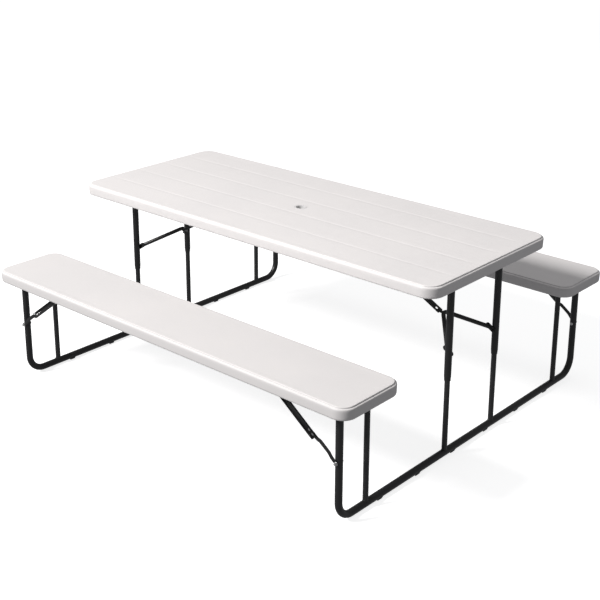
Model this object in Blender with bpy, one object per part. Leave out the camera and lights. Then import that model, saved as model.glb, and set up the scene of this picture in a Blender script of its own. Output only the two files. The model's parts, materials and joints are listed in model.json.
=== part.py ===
"""Folding picnic table: a blow-moulded table top and two bench seats on two folding tube end frames.

Metres, +Z up.  X runs along the table, Y across it, and the origin is on the floor under its middle.
Every piece is built for the +X end; the -X end is the same piece mirrored.
"""
import math

import bmesh
import bpy
from mathutils import Matrix, Vector

# ---- boards -------------------------------------------------------------------------------------
TABLE_LENGTH = 1.800
TABLE_WIDTH = 0.735
TABLE_TOP_Z = 0.728
TABLE_THICKNESS = 0.045
TABLE_CORNER_R = 0.060
BENCH_EXTRA = 0.012
BENCH_WIDTH = 0.297
BENCH_TOP_Z = 0.465
BENCH_THICKNESS = 0.045
BENCH_CORNER_R = 0.052
BENCH_Y = 0.673
BOARD_WALL = 0.0027
BOARD_EDGE_R = 0.009
RECESS_DEPTH = 0.020
TABLE_RIM = 0.034
BENCH_RIM = 0.028
TABLE_PAD_REACH = 0.044
BENCH_PAD_REACH = 0.038
VENT_R = 0.004
CAVITY_SIDE = 0.0045
CORNER_STEPS = 5

# ---- umbrella hole ------------------------------------------------------------------------------
HOLE_R = 0.019
RING_WALL = 0.0022
RING_FLANGE_R = 0.0255
RING_FLANGE = 0.0016

# ---- tube frame ---------------------------------------------------------------------------------
FRAME_INSET = 0.076
OUTER_LEG_Y = 0.747
INNER_LEG_Y = 0.606
TABLE_LEG_Y = 0.151
MAIN_R = 0.013
SLIM_R = 0.010
TUBE_WALL = 0.0015
BASE_BEND_R = 0.066
GLIDE_HEIGHT = 0.003
GLIDE_PITCH = 0.2144
GLIDE_COUNT = 6
GLIDE_LENGTH = 0.022
GLIDE_SHARE = 0.62
SLEEVE_END_Z = 0.300
SWAGE_LENGTH = 0.016
POST_INSERTION = 0.050
POST_FIT = 0.0005
HINGE_TUBE_END = 0.020
RIM_TO_TUBE = 0.0015

# ---- hinge saddles ------------------------------------------------------------------------------
SADDLE_WALL = 0.0020
SADDLE_FIT = 0.0006
TABLE_SADDLE_WIDTH = 0.030
BENCH_SADDLE_WIDTH = 0.070
SADDLE_FLANGE = 0.020
TABLE_SADDLE_Y = 0.100
SCREW_HOLE_R = 0.0024
SCREW_HOLE_INSET = 0.010
SCREW_HOLE_SIDES = 8

# ---- table brace: a channel link from the table top and a V-shaped yoke to both table legs -------
TABLE_BRACE_RUN = 0.550
TABLE_BRACE_DROP = 0.271
TABLE_LINK_RISE = 0.0115
TABLE_LINK_WIDTH = 0.022
TABLE_LINK_DEPTH = 0.009
TABLE_ANCHOR_HALF = 0.011
TABLE_ANCHOR_FOOT = 0.014
LINK_WALL = 0.0018
LINK_NOSE = 0.012
YOKE_R = 0.0080
YOKE_WALL = 0.0015
YOKE_APEX = 0.146
YOKE_LIFT = 0.0095
YOKE_BEND_R = 0.020
YOKE_DRAIN_R = 0.0025
TAB = 0.003
TAB_R = 0.010
TAB_REACH = 0.018
TONGUE = 0.0055
TONGUE_HEIGHT = 0.008

# ---- bench braces: a channel link from the bench and a flat bar to the outer leg -----------------
BENCH_BRACE_RUN = 0.2603
BENCH_BRACE_DROP = 0.175
BENCH_ANCHOR_RISE = 0.018
BENCH_ANCHOR_HALF = 0.014
BENCH_ANCHOR_FOOT = 0.018
BENCH_ANCHOR_LIP = 0.009
BENCH_LINK_WIDTH = 0.022
BENCH_LINK_DEPTH = 0.010
BAR = 0.0030
BAR_WIDTH = 0.0140
BAR_JOG = 0.0050
BAR_STRAIGHT = 0.020
BAR_SET = 0.014
BAR_RETURN = 0.024
LINK_OVERRUN = 0.012
STOP_RIVET = 0.018

# ---- fasteners and fits -------------------------------------------------------------------------
BOLT_R = 0.0035
BOLT_HEAD_R = 0.0065
BOLT_HEAD = 0.0045
BOLT_TIP = 0.0050
PIN_R = 0.0030
PIN_HEAD_R = 0.0050
PIN_HEAD = 0.0020
GAP = 0.0003
HOLE_FIT = 0.0004
CUT_REACH = 0.010
TRIM_BLOCK = (0.4, 0.1, 0.3)
SIDES = 16
SEAT_SIDES = 24
HOLE_SIDES = 12
PIN_SIDES = 10
BEND_STEPS = 5

# ---- places that follow from the sizes above ----------------------------------------------------
BENCH_LENGTH = TABLE_LENGTH + BENCH_EXTRA
FRAME_X = TABLE_LENGTH / 2 - FRAME_INSET
TABLE_RIM_Z = TABLE_TOP_Z - TABLE_THICKNESS
BENCH_RIM_Z = BENCH_TOP_Z - BENCH_THICKNESS
TABLE_HINGE_Z = TABLE_RIM_Z - RIM_TO_TUBE - MAIN_R
BENCH_HINGE_Z = BENCH_RIM_Z - RIM_TO_TUBE - MAIN_R
BASE_Z = GLIDE_HEIGHT + MAIN_R
BAR_Y = OUTER_LEG_Y + MAIN_R + GAP
LINK_Y = BAR_Y + BAR + GAP
TABLE_BOLT_Z = TABLE_HINGE_Z - TABLE_BRACE_DROP
BENCH_BOLT_Z = BENCH_HINGE_Z - BENCH_BRACE_DROP
TABLE_ANCHOR = Vector((FRAME_X - TABLE_BRACE_RUN, 0, TABLE_RIM_Z + TABLE_LINK_RISE))
BENCH_ANCHOR = Vector((FRAME_X - BENCH_BRACE_RUN, 0, BENCH_HINGE_Z + BENCH_ANCHOR_RISE))
TABLE_BOLT = Vector((FRAME_X, 0, TABLE_BOLT_Z))
BENCH_BOLT = Vector((FRAME_X, 0, BENCH_BOLT_Z))
SLEEVE_BORE_R = SLIM_R + POST_FIT


def folding_links(anchor, bolt, hinge_z):
    """Lengths of the two links that are in line when open and lie flat when the leg is folded."""
    rise = anchor.z - hinge_z
    drop = hinge_z - bolt.z
    span = (bolt - anchor).length
    folded = (bolt.x - anchor.x) - drop
    upper = (span ** 2 - folded ** 2 - rise ** 2) / (2 * (span - folded))
    return upper, span - upper


TABLE_LINK, YOKE_LINK = folding_links(TABLE_ANCHOR, TABLE_BOLT, TABLE_HINGE_Z)
BENCH_LINK, BAR_LINK = folding_links(BENCH_ANCHOR, BENCH_BOLT, BENCH_HINGE_Z)
TABLE_SLOPE = (TABLE_BOLT - TABLE_ANCHOR).normalized()
BENCH_SLOPE = (BENCH_BOLT - BENCH_ANCHOR).normalized()
TABLE_ELBOW = TABLE_ANCHOR + TABLE_SLOPE * TABLE_LINK
BENCH_ELBOW = BENCH_ANCHOR + BENCH_SLOPE * BENCH_LINK


# ---- mesh helpers -------------------------------------------------------------------------------
def new_mesh(name, bm):
    """Turn a bmesh into a mesh with outward faces, smooth except along its sharp edges."""
    bmesh.ops.recalc_face_normals(bm, faces=bm.faces)
    mesh = bpy.data.meshes.new(name)
    bm.to_mesh(mesh)
    bm.free()
    mesh.shade_smooth()
    mesh.set_sharp_from_angle(angle=math.radians(35))
    return mesh


def skin(bm, rings, closed):
    """Join rings of points with quads; a closed skin joins the last ring to the first."""
    rows = [[bm.verts.new(point) for point in ring] for ring in rings]
    pairs = list(zip(rows, rows[1:]))
    if closed:
        pairs.append((rows[-1], rows[0]))
    for low, high in pairs:
        for i in range(len(low)):
            j = (i + 1) % len(low)
            bm.faces.new((low[i], low[j], high[j], high[i]))
    if not closed:
        bm.faces.new(rows[0])
        bm.faces.new(rows[-1])


def circle(radius, sides=SIDES):
    """Points evenly spaced on a circle, none of them on its axes."""
    turn = 2 * math.pi / sides
    return [(radius * math.cos(turn * (i + 0.5)), radius * math.sin(turn * (i + 0.5)))
            for i in range(sides)]


def add_turned(bm, profile, centre, axis, closed, sides=SIDES):
    """Revolve (radius, height) points about an axis through centre; closed makes a ring."""
    turn = Vector((0, 0, 1)).rotation_difference(Vector(axis)).to_matrix()
    rings = []
    for radius, height in profile:
        ring = [centre + turn @ Vector((x, y, height)) for x, y in circle(radius, sides)]
        rings.append(ring)
    skin(bm, rings, closed)


def add_tube(bm, start, end, radius, bore, sides=SIDES):
    """A straight tube, open at both ends, or a solid rod when bore is 0."""
    run = end - start
    if bore:
        profile = [(bore, 0), (radius, 0), (radius, run.length), (bore, run.length)]
    else:
        profile = [(radius, 0), (radius, run.length)]
    add_turned(bm, profile, start, run.normalized(), bool(bore), sides)


def add_bent_tube(bm, path, normal, radius, bore, sides=SIDES):
    """Sweep a tube along a flat path; normal is square to the path's plane."""
    side = Vector(normal).normalized()
    outer = []
    inner = []
    for i, point in enumerate(path):
        before = (point - path[i - 1]).normalized() if i else None
        after = (path[i + 1] - point).normalized() if i + 1 < len(path) else None
        along = (before + after).normalized() if before and after else (before or after)
        up = side.cross(along)
        stretch = 1 / along.dot(after or before)
        outer.append([point + side * x + up * y * stretch for x, y in circle(radius, sides)])
        inner.append([point + side * x + up * y * stretch for x, y in circle(bore, sides)])
    skin(bm, outer + inner[::-1], True)


def fillet_path(corners, radius, steps):
    """A path through corners, each inner corner replaced by an arc of the given radius."""
    path = [corners[0]]
    for before, corner, after in zip(corners, corners[1:], corners[2:]):
        to_start = (before - corner).normalized()
        to_end = (after - corner).normalized()
        half = to_start.angle(to_end) / 2
        centre = corner + (to_start + to_end).normalized() * radius / math.sin(half)
        first = corner + to_start * radius / math.tan(half) - centre
        last = corner + to_end * radius / math.tan(half) - centre
        sweep = first.angle(last)
        axis = first.cross(last).normalized()
        for i in range(steps + 1):
            path.append(centre + Matrix.Rotation(sweep * i / steps, 3, axis) @ first)
    path.append(corners[-1])
    return path


def add_prism(bm, outline, low, high, across=(0, 1, 0)):
    """Push a flat outline of 3D points from low to high along a direction."""
    shift = Vector(across)
    skin(bm, [[point + shift * low for point in outline], [point + shift * high for point in outline]],
         False)


def arc_points(centre, radius, start_deg, end_deg, steps):
    """Points on an arc in the XZ plane; angles turn from +X towards +Z."""
    angles = [math.radians(start_deg + (end_deg - start_deg) * i / steps) for i in range(steps + 1)]
    return [centre + Vector((math.cos(a), 0, math.sin(a))) * radius for a in angles]


def strip_outline(centre_line, half, start_cap=True, end_cap=True):
    """Outline of a strip in the XZ plane along a centre line, with round or square ends."""
    left = []
    right = []
    for i, point in enumerate(centre_line):
        near = centre_line[max(i - 1, 0)]
        far = centre_line[min(i + 1, len(centre_line) - 1)]
        along = (far - near).normalized()
        up = Vector((-along.z, 0, along.x))
        left.append(point + up * half)
        right.append(point - up * half)
    first = (centre_line[1] - centre_line[0])
    last = (centre_line[-1] - centre_line[-2])
    first_deg = math.degrees(math.atan2(first.z, first.x))
    last_deg = math.degrees(math.atan2(last.z, last.x))
    start = arc_points(centre_line[0], half, first_deg + 90, first_deg + 270, 6)[1:-1] if start_cap else []
    end = arc_points(centre_line[-1], half, last_deg - 90, last_deg + 90, 6)[1:-1] if end_cap else []
    return left[::-1] + start + right + end


def boolean(mesh, cutter_meshes, operation="DIFFERENCE"):
    """Cut or join closed meshes with the exact solver and return the result as a new mesh."""
    body = bpy.data.objects.new(mesh.name, mesh)
    bpy.context.collection.objects.link(body)
    tools = []
    for cutter_mesh in cutter_meshes:
        tool = bpy.data.objects.new("cutter", cutter_mesh)
        tool.hide_render = True
        tool.display_type = "WIRE"
        bpy.context.collection.objects.link(tool)
        modifier = body.modifiers.new("cut", "BOOLEAN")
        modifier.operation = operation
        modifier.solver = "EXACT"
        modifier.object = tool
        tools.append(tool)
    result = bpy.data.meshes.new_from_object(body.evaluated_get(bpy.context.evaluated_depsgraph_get()))
    result.name = mesh.name
    for item in tools + [body]:
        bpy.data.objects.remove(item, do_unlink=True)
    result.shade_smooth()
    result.set_sharp_from_angle(angle=math.radians(35))
    return result


def rod_mesh(start, end, radius, sides=SIDES):
    bm = bmesh.new()
    add_tube(bm, start, end, radius, 0, sides)
    return new_mesh("rod", bm)


def cross_hole(x, z, radius, y_low, y_high):
    """A cutter along Y."""
    return rod_mesh(Vector((x, y_low, z)), Vector((x, y_high, z)), radius, HOLE_SIDES)


# ---- materials ----------------------------------------------------------------------------------
def material(name, colour, roughness, metallic):
    made = bpy.data.materials.new(name)
    made.use_nodes = True
    shader = made.node_tree.nodes["Principled BSDF"]
    shader.inputs["Base Color"].default_value = (*colour, 1)
    shader.inputs["Roughness"].default_value = roughness
    shader.inputs["Metallic"].default_value = metallic
    return made


# ---- placing ------------------------------------------------------------------------------------
def joint_empty(name, place):
    """An empty on a joint's axis; the pieces that turn about it are its children."""
    empty = bpy.data.objects.new(name, None)
    empty.location = place
    empty.empty_display_size = 0.05
    bpy.context.collection.objects.link(empty)
    return empty


def add_object(name, mesh, joint, colour):
    """Place a mesh that was drawn in world coordinates under its joint's empty."""
    placed = mesh.copy()
    placed.name = name
    placed.transform(Matrix.Translation(-joint.location))
    placed.materials.clear()
    placed.materials.append(colour)
    piece = bpy.data.objects.new(name, placed)
    piece.parent = joint
    bpy.context.collection.objects.link(piece)
    return piece


def mirrored(mesh, axis):
    """The same mesh on the other side of the X or Y midplane, faces still outward."""
    copy = mesh.copy()
    copy.transform(Matrix.Scale(-1, 4, Vector(axis)))
    copy.flip_normals()
    return copy


# ---- boards -------------------------------------------------------------------------------------
def rounded_rectangle(half_x, half_y, radius, z):
    points = []
    for quarter, (sign_x, sign_y) in enumerate(((1, 1), (-1, 1), (-1, -1), (1, -1))):
        for i in range(CORNER_STEPS + 1):
            angle = math.radians(90) * (quarter + i / CORNER_STEPS)
            x = sign_x * (half_x - radius) + radius * math.cos(angle)
            y = sign_y * (half_y - radius) + radius * math.sin(angle)
            points.append(Vector((x, y, z)))
    return points


def loft(rings):
    bm = bmesh.new()
    skin(bm, rings, False)
    return new_mesh("loft", bm)


def board(length, width, top_z, thickness, corner, rim, pad_reach, hole_r):
    """A blow-moulded double-wall board: a deep rim, a thinner panel and a pad over each hinge.

    pad_reach is how far each pad reaches inwards from the middle of its hinge.
    """
    half_x = length / 2
    half_y = width / 2
    rim_z = top_z - thickness
    panel_z = rim_z + RECESS_DEPTH
    edge = BOARD_EDGE_R
    rings = []
    for turn in range(4):
        angle = math.radians(30) * turn
        inset = edge * (1 - math.sin(angle))
        z = top_z - edge * (1 - math.cos(angle))
        rings.append(rounded_rectangle(half_x - inset, half_y - inset, corner - inset, z))
    foot = edge / 2
    rings.append(rounded_rectangle(half_x, half_y, corner, rim_z + foot))
    rings.append(rounded_rectangle(half_x - foot, half_y - foot, corner - foot, rim_z))
    recess_x = FRAME_X - pad_reach
    recess_y = half_y - rim
    recess_corner = corner / 2
    rings.append(rounded_rectangle(recess_x, recess_y, recess_corner, rim_z))
    rings.append(rounded_rectangle(recess_x, recess_y, recess_corner, panel_z))
    body = loft(rings)
    hollow_x = half_x - CAVITY_SIDE - edge / 2
    hollow_y = half_y - CAVITY_SIDE - edge / 2
    hollow_corner = corner - CAVITY_SIDE - edge / 2
    floor_z = panel_z + BOARD_WALL
    roof_z = top_z - BOARD_WALL
    cavity = loft([rounded_rectangle(hollow_x, hollow_y, hollow_corner, floor_z),
                   rounded_rectangle(hollow_x, hollow_y, hollow_corner, roof_z)])
    if hole_r:
        boss = rod_mesh(Vector((0, 0, floor_z - edge)), Vector((0, 0, top_z + edge)), hole_r + BOARD_WALL)
        cavity = boolean(cavity, [boss])
    cutters = [cavity]
    pad_low = recess_x + BOARD_WALL
    pad_high = hollow_x - corner / 4
    for sign in (-1, 1):
        middle = sign * (pad_low + pad_high) / 2
        pocket = [rounded_rectangle((pad_high - pad_low) / 2, half_y - corner, corner / 4, z)
                  for z in (rim_z + BOARD_WALL, floor_z + BOARD_WALL)]
        cutters.append(loft([[point + Vector((middle, 0, 0)) for point in ring] for ring in pocket]))
        vent = Vector((sign * recess_x / 2, recess_y / 2, panel_z - edge))
        cutters.append(rod_mesh(vent, vent + Vector((0, 0, edge + 2 * BOARD_WALL)), VENT_R, HOLE_SIDES))
    if hole_r:
        above = Vector((0, 0, top_z + edge))
        seat = Vector((0, 0, top_z - RING_FLANGE - GAP))
        cutters.append(rod_mesh(Vector((0, 0, rim_z)), above, hole_r, SEAT_SIDES))
        cutters.append(rod_mesh(seat, above, RING_FLANGE_R + GAP, SEAT_SIDES))
    return boolean(body, cutters)


def umbrella_ring():
    """A flanged plastic bush that lines the umbrella hole."""
    outer = HOLE_R + RING_WALL
    foot_z = TABLE_RIM_Z + RECESS_DEPTH + GAP
    flange_z = TABLE_TOP_Z - RING_FLANGE
    profile = [(HOLE_R, foot_z), (outer, foot_z), (outer, flange_z), (RING_FLANGE_R, flange_z),
               (RING_FLANGE_R, TABLE_TOP_Z), (HOLE_R, TABLE_TOP_Z)]
    bm = bmesh.new()
    add_turned(bm, profile, Vector((0, 0, 0)), (0, 0, 1), True, SEAT_SIDES)
    return new_mesh("ring", bm)


# ---- tubes --------------------------------------------------------------------------------------
def saddle_cut(z, y_low, y_high, radius=MAIN_R):
    """The round seat that a tube's end is coped to, a gap wider than the tube it meets."""
    return rod_mesh(Vector((FRAME_X, y_low, z)), Vector((FRAME_X, y_high, z)), radius + GAP, SEAT_SIDES)


def glides():
    """Small glides under the base tube: the pads that stand on the floor."""
    pads = []
    half = MAIN_R * GLIDE_SHARE
    grip = MAIN_R - TUBE_WALL / 2
    for i in range(GLIDE_COUNT):
        y = (i - (GLIDE_COUNT - 1) / 2) * GLIDE_PITCH
        centre = Vector((FRAME_X, 0, BASE_Z))
        angle = math.degrees(math.asin(half / grip))
        outline = [Vector((FRAME_X - half, 0, 0)), Vector((FRAME_X + half, 0, 0))]
        outline += arc_points(centre, grip, -90 + angle, -90 - angle, 3)
        bm = bmesh.new()
        add_prism(bm, outline, y - GLIDE_LENGTH / 2, y + GLIDE_LENGTH / 2)
        pads.append(new_mesh("glide", bm))
    return pads


def base_tube():
    """One bent tube: the long foot on the floor and the two outer bench legs."""
    corners = [Vector((FRAME_X, y, z)) for y, z in (
        (-OUTER_LEG_Y, BENCH_HINGE_Z), (-OUTER_LEG_Y, BASE_Z), (OUTER_LEG_Y, BASE_Z),
        (OUTER_LEG_Y, BENCH_HINGE_Z))]
    bm = bmesh.new()
    add_bent_tube(bm, fillet_path(corners, BASE_BEND_R, BEND_STEPS), (1, 0, 0), MAIN_R, MAIN_R - TUBE_WALL)
    tube = new_mesh("base", bm)
    reach = OUTER_LEG_Y + 2 * MAIN_R
    hinge_cut = saddle_cut(BENCH_HINGE_Z, -reach, reach)
    bolt_cut = cross_hole(FRAME_X, BENCH_BOLT_Z, BOLT_R + HOLE_FIT, -reach, reach)
    return boolean(boolean(tube, [hinge_cut, bolt_cut]), glides(), "UNION")


def inner_leg(sign):
    """A slim leg between the base tube and the bench's hinge tube, coped to both."""
    y = sign * INNER_LEG_Y
    bm = bmesh.new()
    add_tube(bm, Vector((FRAME_X, y, BASE_Z)), Vector((FRAME_X, y, BENCH_HINGE_Z)), SLIM_R,
             SLIM_R - TUBE_WALL)
    low = min(y - MAIN_R, y + MAIN_R)
    return boolean(new_mesh("leg", bm), [saddle_cut(BASE_Z, low, low + 2 * MAIN_R),
                                         saddle_cut(BENCH_HINGE_Z, low, low + 2 * MAIN_R)])


def table_post(sign):
    """A slim post on the base tube that the table leg's sleeve slides down."""
    y = sign * TABLE_LEG_Y
    bm = bmesh.new()
    add_tube(bm, Vector((FRAME_X, y, BASE_Z)), Vector((FRAME_X, y, SLEEVE_END_Z + POST_INSERTION)),
             SLIM_R, SLIM_R - TUBE_WALL)
    return boolean(new_mesh("post", bm), [saddle_cut(BASE_Z, y - MAIN_R, y + MAIN_R)])


def table_leg(sign):
    """A sleeve with a swaged lower end, coped to the table's hinge tube."""
    y = sign * TABLE_LEG_Y
    neck_r = SLEEVE_BORE_R + TUBE_WALL
    wide_z = SLEEVE_END_Z + SWAGE_LENGTH
    lip_z = SLEEVE_END_Z + SWAGE_LENGTH / 4
    bore_r = MAIN_R - TUBE_WALL
    profile = [(SLEEVE_BORE_R, SLEEVE_END_Z), (neck_r, SLEEVE_END_Z), (neck_r, lip_z), (MAIN_R, wide_z),
               (MAIN_R, TABLE_HINGE_Z), (bore_r, TABLE_HINGE_Z), (bore_r, wide_z), (SLEEVE_BORE_R, lip_z)]
    bm = bmesh.new()
    add_turned(bm, profile, Vector((FRAME_X, y, 0)), (0, 0, 1), True)
    return boolean(new_mesh("sleeve", bm), [saddle_cut(TABLE_HINGE_Z, y - 2 * MAIN_R, y + 2 * MAIN_R)])


def hinge_tube(y_low, y_high, z):
    bm = bmesh.new()
    add_tube(bm, Vector((FRAME_X, y_low, z)), Vector((FRAME_X, y_high, z)), MAIN_R, MAIN_R - TUBE_WALL)
    return new_mesh("hinge", bm)


# ---- hinge saddles ------------------------------------------------------------------------------
def saddle_outline(hinge_z):
    """A strap that hangs the hinge tube: a flange each side and a half round under the tube."""
    centre = Vector((FRAME_X, 0, hinge_z))
    top_z = hinge_z + MAIN_R + RIM_TO_TUBE - GAP
    inner_r = MAIN_R + SADDLE_FIT
    outer_r = inner_r + SADDLE_WALL
    tip = outer_r + SADDLE_FLANGE
    low_z = top_z - SADDLE_WALL
    inner = arc_points(centre, inner_r, 0, -180, 8)
    outer = arc_points(centre, outer_r, -180, 0, 8)
    return ([Vector((FRAME_X + tip, 0, low_z)), Vector((FRAME_X + tip, 0, top_z)),
             Vector((FRAME_X + inner_r, 0, top_z))] + inner
            + [Vector((FRAME_X - inner_r, 0, top_z)), Vector((FRAME_X - tip, 0, top_z)),
               Vector((FRAME_X - tip, 0, low_z)), Vector((FRAME_X - outer_r, 0, low_z))] + outer
            + [Vector((FRAME_X + outer_r, 0, low_z))])


def saddle(hinge_z, y, width):
    """A saddle centred on y with a screw hole near each corner of its flanges."""
    bm = bmesh.new()
    add_prism(bm, saddle_outline(hinge_z), y - width / 2, y + width / 2)
    top_z = hinge_z + MAIN_R + RIM_TO_TUBE
    hole_x = MAIN_R + SADDLE_FIT + SADDLE_WALL + SADDLE_FLANGE / 2
    cutters = []
    for x in (FRAME_X - hole_x, FRAME_X + hole_x):
        for hole_y in (y - width / 2 + SCREW_HOLE_INSET, y + width / 2 - SCREW_HOLE_INSET):
            cutters.append(rod_mesh(Vector((x, hole_y, top_z - CUT_REACH)),
                                    Vector((x, hole_y, top_z + CUT_REACH)), SCREW_HOLE_R, SCREW_HOLE_SIDES))
    return boolean(new_mesh("saddle", bm), cutters)


# ---- table brace --------------------------------------------------------------------------------
def in_brace(origin, along, lift):
    """A point in a brace's own lines: along it towards the leg, and lifted square to it."""
    up = Vector((-TABLE_SLOPE.z, 0, TABLE_SLOPE.x))
    return origin + TABLE_SLOPE * along + up * lift


def table_link():
    """A shallow channel: two cheeks with round ends and a web over them, open at the elbow."""
    half = TABLE_LINK_DEPTH / 2
    side_y = TABLE_LINK_WIDTH / 2
    cheek = strip_outline([TABLE_ANCHOR, in_brace(TABLE_ELBOW, LINK_NOSE - half, 0)], half)
    web_start = in_brace(TABLE_ANCHOR, half, half - LINK_WALL / 2)
    web_end = in_brace(TABLE_ELBOW, -LINK_NOSE, half - LINK_WALL / 2)
    web = strip_outline([web_start, web_end], LINK_WALL / 2, False, False)
    pieces = []
    for low, high in ((-side_y, LINK_WALL - side_y), (side_y - LINK_WALL, side_y)):
        bm = bmesh.new()
        add_prism(bm, cheek, low, high)
        pieces.append(new_mesh("cheek", bm))
    bm = bmesh.new()
    add_prism(bm, web, -side_y + LINK_WALL / 2, side_y - LINK_WALL / 2)
    joined = boolean(new_mesh("link", bm), pieces, "UNION")
    ear_y = side_y + 2 * GAP + LINK_WALL
    rivet = pin_mesh(TABLE_ELBOW, side_y - LINK_WALL / 2, side_y + GAP, ("high",))
    pins = [pin_mesh(TABLE_ANCHOR, -ear_y, ear_y, ("low", "high")), rivet, mirrored(rivet, (0, 1, 0))]
    return boolean(joined, pins, "UNION")


def pin_mesh(place, y_low, y_high, heads):
    """A round pin along Y with a low head on each named end."""
    profile = [(PIN_R, y_low), (PIN_R, y_high)]
    if "low" in heads:
        profile = [(PIN_HEAD_R * 0.7, y_low - PIN_HEAD), (PIN_HEAD_R, y_low - PIN_HEAD / 2),
                   (PIN_HEAD_R, y_low)] + profile
    if "high" in heads:
        profile += [(PIN_HEAD_R, y_high), (PIN_HEAD_R, y_high + PIN_HEAD / 2),
                    (PIN_HEAD_R * 0.7, y_high + PIN_HEAD)]
    bm = bmesh.new()
    add_turned(bm, profile, Vector((place.x, 0, place.z)), (0, 1, 0), False, PIN_SIDES)
    return new_mesh("pin", bm)


def table_anchor_bracket():
    """A clip under the table's panel with an ear on each side of the link."""
    ear_low = TABLE_LINK_WIDTH / 2 + GAP
    ear_high = ear_low + LINK_WALL
    panel_z = TABLE_RIM_Z + RECESS_DEPTH - GAP
    foot_y = ear_high + TABLE_ANCHOR_FOOT
    x = TABLE_ANCHOR.x
    foot = TABLE_ANCHOR.z - TABLE_LINK_DEPTH / 2
    rows = [(-foot_y, panel_z - LINK_WALL), (-foot_y, panel_z), (foot_y, panel_z),
            (foot_y, panel_z - LINK_WALL),
            (ear_high, panel_z - LINK_WALL), (ear_high, foot), (ear_low, foot),
            (ear_low, panel_z - LINK_WALL), (-ear_low, panel_z - LINK_WALL), (-ear_low, foot),
            (-ear_high, foot), (-ear_high, panel_z - LINK_WALL)]
    bm = bmesh.new()
    add_prism(bm, [Vector((x, y, z)) for y, z in rows], -TABLE_ANCHOR_HALF, TABLE_ANCHOR_HALF, (1, 0, 0))
    hole = cross_hole(x, TABLE_ANCHOR.z, PIN_R + HOLE_FIT, -2 * ear_high, 2 * ear_high)
    return boolean(new_mesh("bracket", bm), [hole])


def yoke_point(along, y):
    """A point on the yoke's sloping plane, measured from its bolts towards its apex."""
    lift = YOKE_LIFT * along / YOKE_APEX
    point = in_brace(TABLE_BOLT, -along, lift)
    return Vector((point.x, y, point.z))


def yoke_arms():
    """A tube bent to a V, from one table leg to the other through the brace's elbow."""
    arm_y = TABLE_LEG_Y - MAIN_R - GAP - TAB / 2
    reach = YOKE_APEX + YOKE_BEND_R / 2
    corners = [yoke_point(TAB_REACH, -arm_y), yoke_point(reach, 0), yoke_point(TAB_REACH, arm_y)]
    normal = (corners[0] - corners[1]).cross(corners[2] - corners[1])
    bm = bmesh.new()
    tilt = (corners[1] - corners[0]).normalized().y
    run_out = YOKE_R / abs(tilt)
    corners[0] = corners[0] - (corners[1] - corners[0]).normalized() * run_out
    corners[2] = corners[2] - (corners[1] - corners[2]).normalized() * run_out
    add_bent_tube(bm, fillet_path(corners, YOKE_BEND_R, BEND_STEPS), normal, YOKE_R, YOKE_R - YOKE_WALL,
                  HOLE_SIDES)
    trims = []
    for sign in (-1, 1):
        centre = Vector((FRAME_X - TRIM_BLOCK[0] / 4, sign * (arm_y + TRIM_BLOCK[1] / 2), TABLE_BOLT_Z))
        box = bmesh.new()
        bmesh.ops.create_cube(box, size=1)
        bmesh.ops.scale(box, vec=TRIM_BLOCK, verts=box.verts)
        bmesh.ops.translate(box, vec=centre, verts=box.verts)
        trims.append(new_mesh("trim", box))
    drain = corners[1].lerp(corners[2], 0.5)
    down = Vector((0, 0, -2 * YOKE_R))
    trims.append(rod_mesh(drain, drain + down, YOKE_DRAIN_R, HOLE_SIDES))
    return boolean(new_mesh("yoke", bm), trims)


def yoke():
    """The arms with their welded ends: an eye at each table leg and the tongue at the elbow."""
    low = TABLE_LEG_Y - MAIN_R - GAP - TAB
    eye = strip_outline([yoke_point(0, 0), yoke_point(TAB_REACH + TAB_R, 0)], TAB_R)
    hole = cross_hole(TABLE_BOLT.x, TABLE_BOLT.z, BOLT_R + HOLE_FIT, low - TAB, low + 2 * TAB)
    bm = bmesh.new()
    add_prism(bm, eye, low, low + TAB)
    plate = boolean(new_mesh("eye", bm), [hole])
    half = TONGUE_HEIGHT / 2
    tip = TABLE_ELBOW
    root = yoke_point(YOKE_APEX, 0)
    step = in_brace(TABLE_BOLT, -(YOKE_APEX + YOKE_R + TONGUE_HEIGHT), 0)
    tongue = strip_outline([tip, step, root], half, True, False)
    bm = bmesh.new()
    add_prism(bm, tongue, -TONGUE / 2, TONGUE / 2)
    return boolean(yoke_arms(), [plate, mirrored(plate, (0, 1, 0)), new_mesh("tongue", bm)], "UNION")


def nut_profile(run):
    """(radius, height) points of a bolt's nut and tip; the nut's face is at run."""
    crown = run + BOLT_HEAD
    return [(BOLT_R, run), (BOLT_HEAD_R, run), (BOLT_HEAD_R, run + BOLT_HEAD * 0.7),
            (BOLT_HEAD_R * 0.75, crown), (BOLT_R, crown), (BOLT_R, crown + BOLT_TIP * 0.7),
            (BOLT_R * 0.6, crown + BOLT_TIP)]


def yoke_bolt():
    """The stud on a table leg that an eye of the yoke turns on; it stops short of the bore."""
    start = Vector((TABLE_BOLT.x, TABLE_LEG_Y - MAIN_R - GAP, TABLE_BOLT.z))
    bm = bmesh.new()
    add_turned(bm, [(BOLT_R, 0)] + nut_profile(TAB + GAP), start, (0, -1, 0), False, HOLE_SIDES)
    return new_mesh("stud", bm)


# ---- bench braces -------------------------------------------------------------------------------
def on_bench_brace(along, lift):
    """A point on a bench brace's line, measured from its anchor towards the leg."""
    up = Vector((-BENCH_SLOPE.z, 0, BENCH_SLOPE.x))
    return BENCH_ANCHOR + BENCH_SLOPE * along + up * lift


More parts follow.
